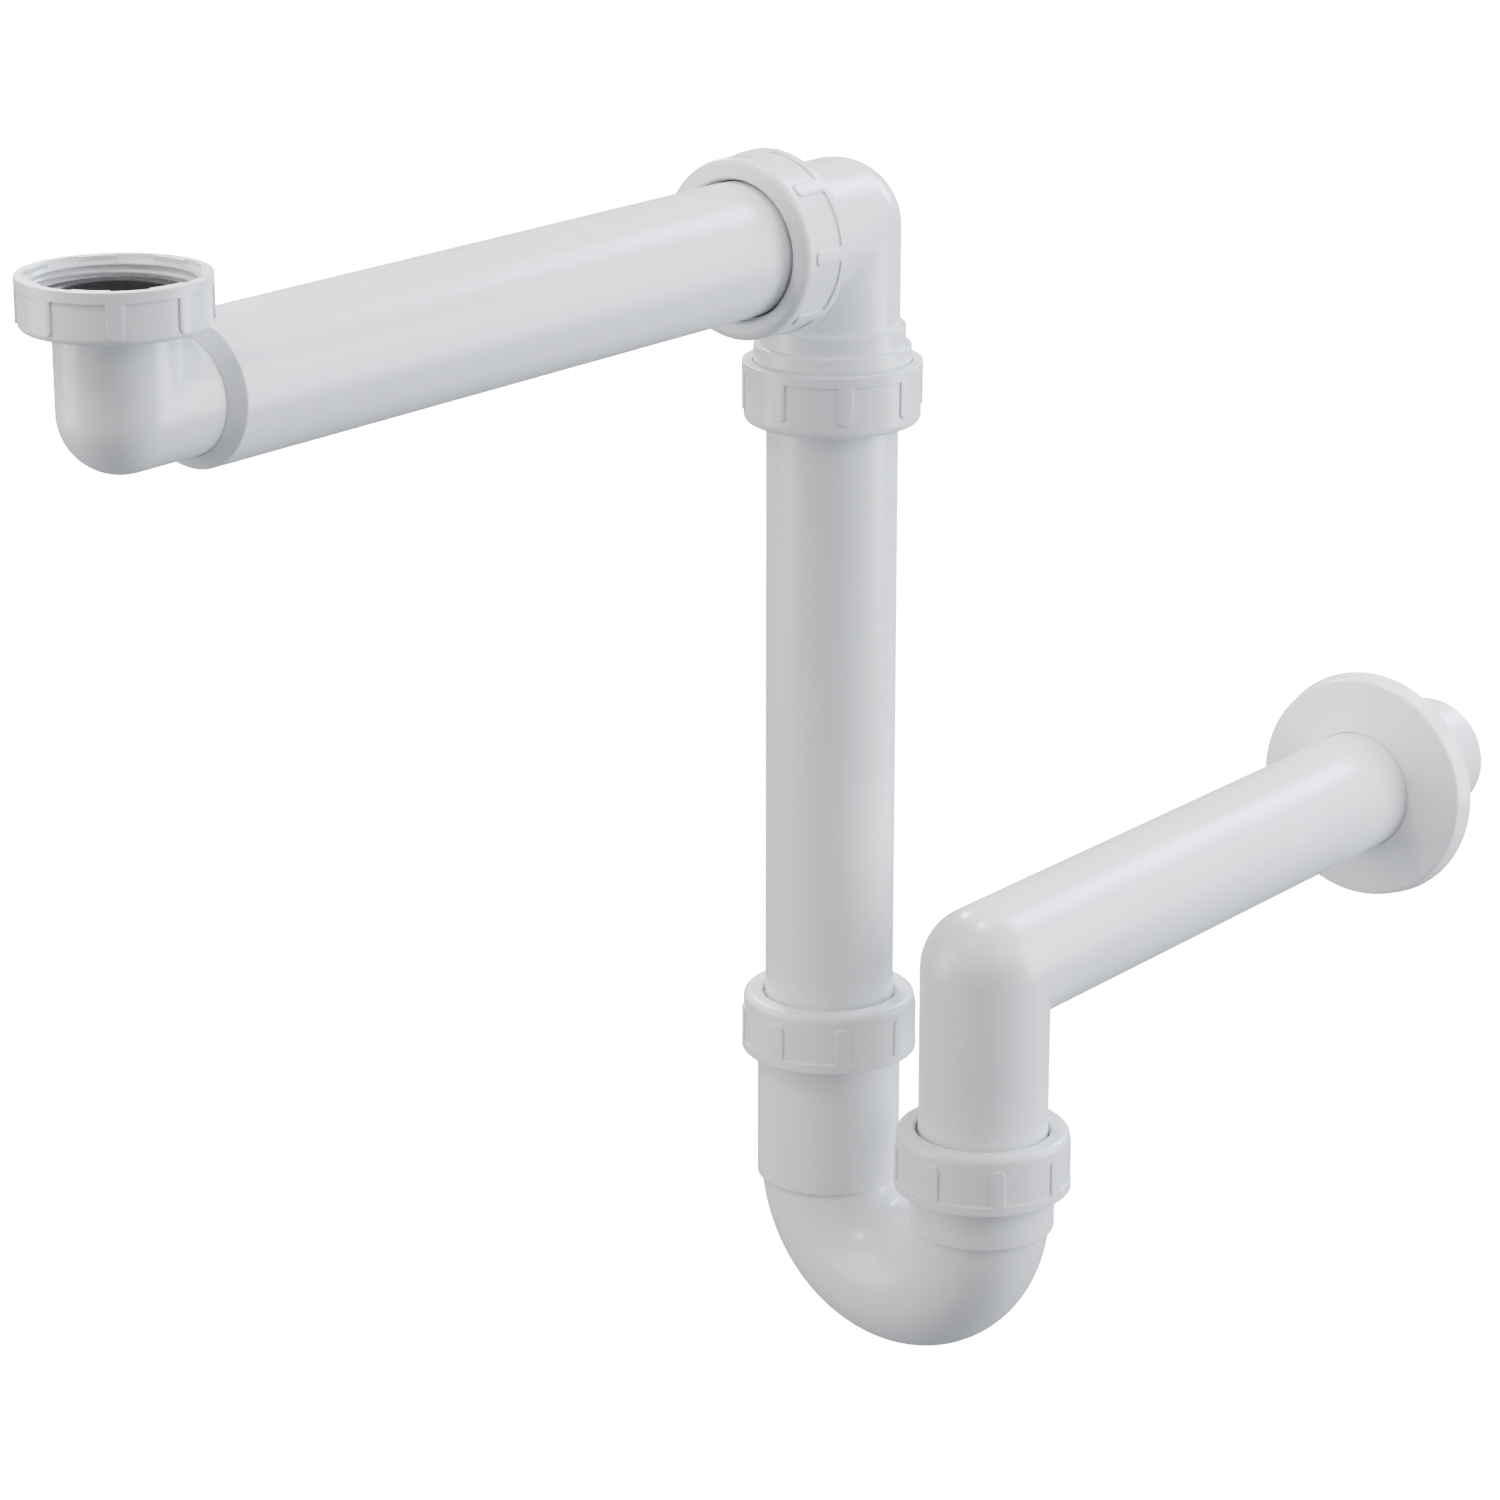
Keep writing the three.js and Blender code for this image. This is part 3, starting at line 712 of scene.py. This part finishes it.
def rib_pad(name, body_radius, low, high):
    """Pad from `low` to `high` along +Z on a cylinder, in millimetres."""
    top = body_radius + RIB_PROUD
    base = body_radius - 0.5
    half = RIB_WIDTH / 2
    shoulder = top - RIB_SOFT
    eased = top - 0.3 * RIB_SOFT
    rows = [(low, base), (low, shoulder), (low + 0.3 * RIB_SOFT, eased)]
    rows += [(low + RIB_SOFT + RIB_ROUND * (1 - math.cos(a)), top) for a in np.linspace(0.02, math.pi / 2, 8)]
    rows += [(s, top) for s in np.linspace(low + RIB_ROUND + 0.5, high, 5)]
    rows.append((high, base))
    points, edge = [], []
    for s, height in rows:
        far = max(0.0, RIB_ROUND - (s - low))
        wide = half - RIB_ROUND + math.sqrt(max(0.0, RIB_ROUND ** 2 - far ** 2))
        inner = wide - RIB_SOFT
        flank = [(wide, base), (wide, min(height, shoulder)), (wide - 0.3 * RIB_SOFT, min(height, eased))]
        crown = [(u, height) for u in (-inner, -inner / 2, 0.0, inner / 2, inner)]
        profile = [(-u, r) for u, r in flank] + crown + flank[::-1]
        for k, (u, r) in enumerate(profile):
            angle = u / top
            points.append((r * math.cos(angle) * MM, r * math.sin(angle) * MM, s * MM))
            edge.append(1.0 if k in (1, 2, 3, 7, 8, 9) else 0.0)
    columns = len(profile)
    faces = []
    for i in range(len(rows) - 1):
        for k in range(columns):
            a, b = i * columns + k, i * columns + (k + 1) % columns
            faces.append((a, b, b + columns, a + columns))
    faces.append(tuple(range(columns))[::-1])
    faces.append(tuple(range((len(rows) - 1) * columns, len(rows) * columns)))
    mesh = bpy.data.meshes.new(name)
    mesh.from_pydata(points, [], faces)
    mesh.attributes.new("edge", "FLOAT", "POINT").data.foreach_set("value", edge)
    shape = bmesh.new()
    shape.from_mesh(mesh)
    bmesh.ops.remove_doubles(shape, verts=shape.verts, dist=WELD)
    bmesh.ops.recalc_face_normals(shape, faces=shape.faces)
    shape.to_mesh(mesh)
    shape.free()
    return placed(name, mesh)


# %% [markdown]
# ## Compression nuts
#
# Four alike nuts close on the wide pipe. The closed end has a bevelled hole round the pipe and a
# rounded shoulder, the open end a plain collar, and eight ribs give a grip. Inside, a ridge of
# thread climbs at 2.309 mm a turn. Each nut turns by the rule of its own thread when it backs
# off, so the ridge stays in its groove.

# %% Compression nuts
NUT_WEB = 2.6
NUT_BODY = 26.8
NUT_SHOULDER = 2.6
COLLAR_LENGTH = 3.2
THREAD_CREST_IN = 24.2
THREAD_GROOVE_IN = 24.9
PITCH = 2.309
HALF_RIDGE = 0.75
SUNK = 0.1
HOLE_GAP = 0.95
HOLE_BEVEL = 0.7
NUT_THREAD_START = 7.6
NUT_THREAD_TURNS = 3.9
RIBS = 8

nut_low, nut_high = box_of("drop_nut")
NUT_LENGTH = (nut_high[2] - nut_low[2]) / MM
nut_rib = rib_pad("rib_wide", NUT_BODY, NUT_SHOULDER + 1.8, NUT_LENGTH - COLLAR_LENGTH + 0.4)


def compression_nut(node, start, along):
    collar = NUT_LENGTH - COLLAR_LENGTH
    proud = NUT_BODY + RIB_PROUD
    hole = PIPE + HOLE_GAP
    loop = rounded(
        (NUT_WEB, hole, 0.1), (HOLE_BEVEL, hole, 0.25), (0, hole + HOLE_BEVEL, 0.25),
        (0, NUT_BODY, NUT_SHOULDER), (collar, NUT_BODY, 0.08), (collar, proud, 0.15),
        (NUT_LENGTH, proud, 0.5), (NUT_LENGTH, THREAD_CREST_IN, 0.25),
        (NUT_LENGTH - 1.2, THREAD_CREST_IN, 0.1), (NUT_LENGTH - 1.9, THREAD_GROOVE_IN, 0.2),
        (NUT_WEB, THREAD_GROOVE_IN, 0.3), steps=5,
    )
    blank = turned(f"skin_{node}", (0, 0, 0), (0, 0, 1), loop)
    root = THREAD_GROOVE_IN + SUNK
    dressed(
        blank, nut_white, Rib=nut_rib, Ribs=RIBS,
        Thread_root=root * MM, Thread_height=(THREAD_CREST_IN - root) * MM,
        Thread_start=NUT_THREAD_START * MM, Thread_turns=NUT_THREAD_TURNS,
        Thread_pitch=PITCH * MM, Thread_width=HALF_RIDGE * MM,
    )
    turn_mesh(blank, start, along)
    return keep(blank, node)


arm_nut_low, _ = box_of("arm_nut")
_, trap_in_high = box_of("trap_inlet_nut")
_, trap_out_high = box_of("trap_outlet_nut")
JOINTS = {
    "arm": ((0, arm_nut_low[1], arm_z), (0, 1, 0)),
    "drop": ((drop_axis[0], drop_axis[1], nut_low[2]), (0, 0, 1)),
    "trap_inlet": ((drop_axis[0], drop_axis[1], trap_in_high[2]), (0, 0, -1)),
    "trap_outlet": ((riser_axis[0], riser_axis[1], trap_out_high[2]), (0, 0, -1)),
}
for joint, (start, along) in JOINTS.items():
    compression_nut(f"{joint}_nut", start, along)

# %% [markdown]
# ## The inlet nut and its gasket
#
# The basin waste screws in here. The nut stands open end up, so its coarse rounded thread, the
# pockets cored into the rim and the flat black gasket on the flange can all be seen from above.

# %% Inlet nut
inlet_low, inlet_high = box_of("inlet_nut")
INLET_LENGTH = (inlet_high[2] - inlet_low[2]) / MM
INLET_BODY = 24.25
INLET_BORE = 21.25
INLET_WEB = 2.4
INLET_HOLE = NECK + 0.6
LEDGE = 20.8
POCKETS = 7
POCKET_START = math.radians(4.3)
POCKET_DEPTH = 1.2
POCKET_OUTER = INLET_BORE + 1.4
INLET_THREAD_HEIGHT = 0.9
INLET_THREAD_START = 6.1
INLET_THREAD_TURNS = 1.8
INLET_HALF_RIDGE = 0.8
INLET_SIDES = 448
inlet_rib = rib_pad("rib_inlet", INLET_BODY, 1.5, INLET_LENGTH - 2.6)

inlet_collar = INLET_LENGTH - 3.0
inlet_proud = INLET_BODY + RIB_PROUD
groove = INLET_BORE + 0.8
inlet_loop = rounded(
    (INLET_WEB, INLET_HOLE, 0.1), (0, INLET_HOLE, 0.3), (0, INLET_BODY, 1.6),
    (inlet_collar, INLET_BODY, 0.08), (inlet_collar, inlet_proud, 0.15), (INLET_LENGTH, inlet_proud, 0.35),
    (INLET_LENGTH, POCKET_OUTER + 0.06, 0), (INLET_LENGTH, POCKET_OUTER - 0.06, 0),
    (INLET_LENGTH, INLET_BORE + 0.3, 0.1), (INLET_LENGTH - 1.3, INLET_BORE + 0.3, 0.05),
    (INLET_LENGTH - 2.4, LEDGE, 0.3), (INLET_LENGTH - 2.8, groove, 0.2), (INLET_WEB, groove, 0.3), steps=4,
)
inlet_nut = turned("skin_inlet_nut", (0, 0, 0), (0, 0, 1), inlet_loop, sides=INLET_SIDES)
dressed(
    inlet_nut, nut_white, Rib=inlet_rib, Ribs=RIBS,
    Pockets=float(POCKETS), Pocket_start=POCKET_START, Pocket_radius=POCKET_OUTER * MM,
    Pocket_top=INLET_LENGTH * MM, Pocket_floor=(INLET_LENGTH - POCKET_DEPTH) * MM,
    Thread_root=(groove + SUNK) * MM, Thread_height=-INLET_THREAD_HEIGHT * MM,
    Thread_start=INLET_THREAD_START * MM, Thread_turns=INLET_THREAD_TURNS,
    Thread_pitch=PITCH * MM, Thread_width=INLET_HALF_RIDGE * MM,
)
turn_mesh(inlet_nut, (0, 0, inlet_low[2]), (0, 0, 1))
keep(inlet_nut, "inlet_nut")

# %% Inlet gasket
gasket_low, gasket_high = box_of("inlet_gasket")
gasket_thick = (gasket_high[2] - gasket_low[2]) / MM
GASKET_BORE = 14.6
inlet_gasket = turned(
    "skin_inlet_gasket", (0, 0, gasket_low[2]), (0, 0, 1),
    rounded(
        (0, GASKET_BORE, 0.25), (0, FLANGE, 0.25),
        (gasket_thick, FLANGE, 0.35), (gasket_thick, GASKET_BORE, 0.35),
    ),
)
keep(inlet_gasket, "inlet_arm", rubber)

# %% [markdown]
# ## The top elbow
#
# A fat ball-cornered elbow with a threaded socket at each end. The socket that looks down shows
# the last of its thread above the nut, then a plain collar. The thread's end and the collar both
# have a small chamfer that catches the light as a thin bright ring.

# %% Threads on sockets
THREAD_CREST = 23.9
THREAD_ROOT = 22.9
SOCKET_BORE = PIPE + 0.4
MOUTH_BEVEL = 22.5
BEVEL_DEPTH = 4.2
THREAD_RAMP = 0.6


def threaded_end(thread_end, crest, mouth, chamfer=0.3):
    """Corners of a socket from the end of its thread, round the bevelled mouth, to its bore."""
    return [
        (thread_end, THREAD_CREST, chamfer), (thread_end + crest, THREAD_CREST, 0.3),
        (thread_end + crest + THREAD_RAMP, THREAD_ROOT, 0.3), (mouth, THREAD_ROOT, 0.4),
        (mouth, MOUTH_BEVEL, 0.1), (mouth - BEVEL_DEPTH, SOCKET_BORE, 0.3),
    ]


def outer_thread(name, start, along, turns, first):
    """Ridge of thread on a socket, as its own closed roll, its axis at `start` pointing `along`."""
    seed = placed(name, bpy.data.meshes.new(name))
    dressed(
        seed, moulded,
        Thread_root=(THREAD_ROOT - SUNK) * MM, Thread_height=(THREAD_CREST - THREAD_ROOT + SUNK) * MM,
        Thread_start=first * MM, Thread_turns=turns, Thread_pitch=PITCH * MM, Thread_width=HALF_RIDGE * MM,
    )
    return turn_mesh(seed, start, along)


def joined(name, parts):
    """One mesh object from several, in the order given."""
    shape = bmesh.new()
    for part in parts:
        if "flow" not in part.data.attributes:
            flow = part.data.attributes.new("flow", "FLOAT_VECTOR", "POINT")
            flow.data.foreach_set("vector", [x for v in part.data.vertices for x in v.co])
        if "edge" not in part.data.attributes:
            part.data.attributes.new("edge", "FLOAT", "POINT")
        shape.from_mesh(part.data)
    mesh = bpy.data.meshes.new(name)
    shape.to_mesh(mesh)
    shape.free()
    for part in parts:
        bpy.data.objects.remove(part)
    return placed(name, mesh)


# %% Top elbow
TOP_BODY = 20.35
TOP_BORE = 18.4
COLLAR = 22.1
arm_nut_face = (drop_axis[1] - arm_nut_low[1]) / MM
drop_nut_face = (arm_z - nut_low[2]) / MM
MOUTH_IN_NUT = 7.5
ARM_THREAD_SHOWN = 1.0
DROP_THREAD_SHOWN = 5.1
COLLAR_LENGTH_ABOVE = 6.1
arm_mouth = arm_nut_face - MOUTH_IN_NUT
drop_mouth = drop_nut_face - MOUTH_IN_NUT
arm_thread_end = arm_nut_face - NUT_LENGTH - ARM_THREAD_SHOWN
drop_thread_end = drop_nut_face - NUT_LENGTH - DROP_THREAD_SHOWN
STOP_GAP = 0.3
drop_stop = (arm_z - drop_high[2]) / MM - STOP_GAP
arm_stop = (drop_axis[1] - arm_high[1]) / MM - STOP_GAP
ELBOW_BEND_END = 25.0
collar_start = drop_thread_end - COLLAR_LENGTH_ABOVE
top_corner = np.array([drop_axis[0], drop_axis[1], arm_z])
elbow_body = route(
    "top_elbow_body", top_corner, (0, -1, 0), (0, 0, -1),
    legs(
        [
            (ELBOW_BEND_END, TOP_BODY, 0), (arm_thread_end, TOP_BODY, 0.4),
            *threaded_end(arm_thread_end, 2.2, arm_mouth),
            (arm_stop, SOCKET_BORE, 0.3), (arm_stop, TOP_BORE, 0.3), (ELBOW_BEND_END, TOP_BORE, 0),
        ],
        [
            (ELBOW_BEND_END, TOP_BODY, 0), (collar_start, TOP_BODY, 0.35), (collar_start, COLLAR, 0.95),
            (drop_thread_end, COLLAR, 0.25), *threaded_end(drop_thread_end, 5.6, drop_mouth, 0.95),
            (drop_stop, SOCKET_BORE, 0.3), (drop_stop, TOP_BORE, 0.3), (ELBOW_BEND_END, TOP_BORE, 0),
        ],
    ),
)
arm_thread = outer_thread("arm_thread", (0, drop_axis[1] - arm_mouth * MM, arm_z), (0, 1, 0), 3.6, 1.0)
drop_thread = outer_thread(
    "drop_thread", (drop_axis[0], drop_axis[1], arm_z - drop_mouth * MM), (0, 0, 1), 4.0, 1.0
)
top_elbow = joined("skin_top_elbow", [elbow_body, arm_thread, drop_thread])
keep(top_elbow, "top_elbow", moulded)

# %% [markdown]
# ## The trap bend
#
# The U that holds the water seal is moulded with a long socket on the inlet leg and a short one
# on the outlet leg. The sockets are straight, and stop at a small chamfered foot a little below
# the place where the pipe starts to curve, so each is turned about its own leg and slipped over
# the end of the bend.

# %% Trap bend
BEND_R = 21.1
BEND_BORE = 18.9
bend_z = bend_low[2] + BEND_R * MM + BEND_SWEEP_R
SOCKET = 22.4
SOCKET_FOOT = 5.1
THREAD_HIDDEN = 1.5
BURIED = 20.0
bend_middle = (drop_axis + riser_axis) / 2
bend_middle[2] = bend_z
bend_end = [(0, BEND_R, 0), (0.4, BEND_R, 0), (0.4, BEND_BORE, 0.3), (0, BEND_BORE, 0)]
bend_pipe = route(
    "bend_pipe", bend_middle, (0, 0, 1), across_trap,
    legs(bend_end, bend_end),
    sweep=BEND_SWEEP_R,
)


def trap_socket(name, axis, nut_top):
    """Straight socket on a leg of the bend, measured up from the start of the bend."""
    mouth = (nut_top - bend_z) / MM - MOUTH_IN_NUT
    thread_end = mouth + MOUTH_IN_NUT - NUT_LENGTH + THREAD_HIDDEN
    start = (axis[0], axis[1], bend_z)
    blank = turned(
        name, start, (0, 0, 1),
        rounded(
            (-SOCKET_FOOT, BURIED, 0), (-SOCKET_FOOT, SOCKET, 0.9), (thread_end - 0.9, SOCKET, 0.3),
            *threaded_end(thread_end, 1.4, mouth), (0.2, SOCKET_BORE, 0.3), (0.2, BURIED, 0),
        ),
    )
    turns = (mouth - thread_end - 2.4) / PITCH
    thread = outer_thread(f"{name}_thread", (axis[0], axis[1], bend_z + mouth * MM), (0, 0, -1), turns, 0.9)
    return [blank, thread]


sockets = trap_socket("inlet_socket", drop_axis, trap_in_high[2])
sockets += trap_socket("outlet_socket", riser_axis, trap_out_high[2])
trap_bend = joined("skin_trap_bend", [bend_pipe, *sockets])
keep(trap_bend, "trap_bend", moulded)

# %% [markdown]
# ## Slip rings and cone seals
#
# Inside each nut a hard ring slides on the pipe and a rubber cone fills the bevel of the socket.
# They show only when a nut is backed off, but a joint without them would leak, and a mesh that
# someone takes apart should have them.

# %% Slip rings and seals
RING_BORE = PIPE + 0.3
RING_OUTER = 23.6
RING_FROM, RING_TO = 2.9, 4.9
SEAL_OUTER = 23.3
SEAL_FROM, CONE_FROM, SEAL_TO = 5.2, 7.2, 10.2
for joint, (start, along) in JOINTS.items():
    ring = turned(
        f"skin_{joint}_slip_ring", start, along,
        rounded(
            (RING_FROM, RING_BORE, 0.2), (RING_FROM, RING_OUTER, 0.3),
            (RING_TO, RING_OUTER, 0.3), (RING_TO, RING_BORE, 0.2),
        ),
    )
    keep(ring, f"{joint}_slip_ring", ring_plastic)
    seal = turned(
        f"skin_{joint}_seal", start, along,
        rounded(
            (SEAL_FROM, RING_BORE, 0.2), (SEAL_FROM, SEAL_OUTER, 0.3), (CONE_FROM, SEAL_OUTER, 0.3),
            (CONE_FROM, 22.4, 0.15), (SEAL_TO, 20.9, 0.15), (SEAL_TO, RING_BORE, 0.1),
        ),
    )
    keep(seal, f"{joint}_seal", rubber)

# %% [markdown]
# ## The wall rosette
#
# A glossy pressed cover hides the hole in the wall. Its face dishes slightly towards the pipe,
# turns over a round edge and flares to the wall as a short band, and a collar behind it grips
# the pipe. Its thin wall is the same all over, so the section is drawn with both skins.

# %% Rosette
rosette_low, rosette_high = box_of("wall_rosette")
RIM = (rosette_high[2] - rosette_low[2]) / 2 / MM
FACE = RIM - 1.4
DISH = 3.1
deep = (rosette_high[1] - rosette_low[1]) / MM
ROSETTE_WALL = 1.8
ROSETTE_BORE = PIPE + 0.1
wall_rosette = turned(
    "skin_wall_rosette", (riser_axis[0], rosette_low[1], outlet_z), (0, 1, 0),
    rounded(
        (0, ROSETTE_BORE, 0.3), (DISH, FACE, 1.5), (deep, RIM, 0.5), (deep, RIM - ROSETTE_WALL, 0.3),
        (DISH + ROSETTE_WALL, FACE - ROSETTE_WALL, 0.4), (ROSETTE_WALL, ROSETTE_BORE + ROSETTE_WALL, 0.4),
        (deep, ROSETTE_BORE + ROSETTE_WALL, 0.3), (deep, ROSETTE_BORE, 0.3), steps=6,
    ),
    sides=144,
)
keep(wall_rosette, "wall_rosette", glossy)

for rib in (nut_rib, inlet_rib):
    bpy.data.objects.remove(rib)

# %% [markdown]
# ## Floor, light and camera
#
# White plastic on white needs soft light from both sides and above, and a slightly darker room
# in front, so that every pipe keeps a grey core between two bright flanks. Two small lamps behind
# and overhead put small bright spots on bends and rounded edges. The trap hangs from a
# basin, so the floor is some way below it. Floor and background are lit paper that burns out to
# plain white, yet gives the trap only a weak glow: lit as brightly as it looks, it would drown
# the shadows that shape the white pipes.

# %% Floor
PAPER = 18.0
BOUNCE = 0.46
FLOOR_BELOW = 0.35
floor_z = cad_low[2] - FLOOR_BELOW
floor_mesh = bpy.data.meshes.new("floor")
FLOOR_HALF = 12.0
floor_corners = [(x * FLOOR_HALF, y * FLOOR_HALF, floor_z) for x, y in ((-1, -1), (1, -1), (1, 1), (-1, 1))]
floor_mesh.from_pydata(floor_corners, [], [(0, 1, 2, 3)])
floor = placed("floor", floor_mesh)
floor_paint = bpy.data.materials.new("pale_floor")
floor_paint.use_nodes = True
paint = Graph(floor_paint.node_tree)
looked_at = paint.node("ShaderNodeLightPath", output="Is Camera Ray")
bounce = paint.node("ShaderNodeEmission", None, {"Color": (0.85, 0.9, 1.0, 1.0), "Strength": BOUNCE})
sheet = paint.node("ShaderNodeEmission", None, {"Color": (1.0, 1.0, 1.0, 1.0), "Strength": PAPER})
lit = paint.node("ShaderNodeMixShader", None, {0: looked_at, 1: bounce, 2: sheet})
paint.node("ShaderNodeOutputMaterial", None, {"Surface": lit})
floor_mesh.materials.append(floor_paint)

# %% Light
middle = (Vector(cad_low) + Vector(cad_high)) / 2
VIEW_TURN = math.radians(37.44)


def softbox(name, turn_deg, height_deg, distance, width, tall, power, colour=(1.0, 1.0, 1.0)):
    """Area light that faces the trap, `turn_deg` to the right of the way that the camera looks."""
    turn = VIEW_TURN - math.radians(turn_deg)
    height = math.radians(height_deg)
    level = math.cos(height)
    away = Vector((-math.sin(turn) * level, math.cos(turn) * level, math.sin(height)))
    lamp = bpy.data.lights.new(name, "AREA")
    lamp.shape, lamp.size, lamp.size_y = "RECTANGLE", width, tall
    lamp.energy, lamp.color = power, colour
    made = placed(name, lamp)
    made.location = middle + away * distance
    made.rotation_mode = "QUATERNION"
    made.rotation_quaternion = (-away).to_track_quat("-Z", "Y")


softbox("left_softbox", -97, 8, 1.6, 0.9, 1.3, 20, (0.94, 0.96, 1.0))
softbox("right_softbox", 90, 8, 1.6, 0.9, 1.3, 43, (0.86, 0.92, 1.0))
softbox("back_right_strip", 45, 30, 1.8, 0.5, 1.0, 42, (0.66, 0.78, 1.0))
softbox("front_left_fill", -124, 54, 1.8, 0.45, 0.45, 15, (0.95, 0.96, 1.0))
softbox("front_right_fill", 135, 45, 1.8, 1.0, 1.0, 13, (0.82, 0.88, 1.0))
softbox("back_lamp", -20, 34, 1.8, 0.12, 0.12, 22)
softbox("overhead_lamp", -15, 76, 1.5, 0.14, 0.14, 18)

world = bpy.data.worlds.new("studio")
bpy.context.scene.world = world
world.use_nodes = True
sky = Graph(world.node_tree)
seen = sky.node("ShaderNodeLightPath", output="Is Camera Ray")
room = sky.node("ShaderNodeBackground", None, {"Color": (1.0, 0.95, 0.87, 1.0), "Strength": 0.47})
paper = sky.node("ShaderNodeBackground", None, {"Color": (1.0, 1.0, 1.0, 1.0), "Strength": PAPER})
either = sky.node("ShaderNodeMixShader", None, {0: seen, 1: room, 2: paper})
sky.node("ShaderNodeOutputWorld", None, {"Surface": either})

# %% Camera
lens = bpy.data.cameras.new("camera")
lens.sensor_width = 36.0
lens.lens = 112.42
lens.clip_start, lens.clip_end = 0.05, 50.0
camera = placed("camera", lens)
camera.location = (0.81895, -0.81042, 0.24287)
camera.rotation_euler = (math.radians(90 - 17.597), 0.0, VIEW_TURN)
bpy.context.scene.camera = camera

# %% [markdown]
# ## Bring the scene up to date
#
# The skins must fill the solids' box and no more. The solids' span is printed at the start and each skin's
# extent as it is kept; this last cell only brings the scene up to date.

# %% Update the scene
bpy.context.view_layer.update()
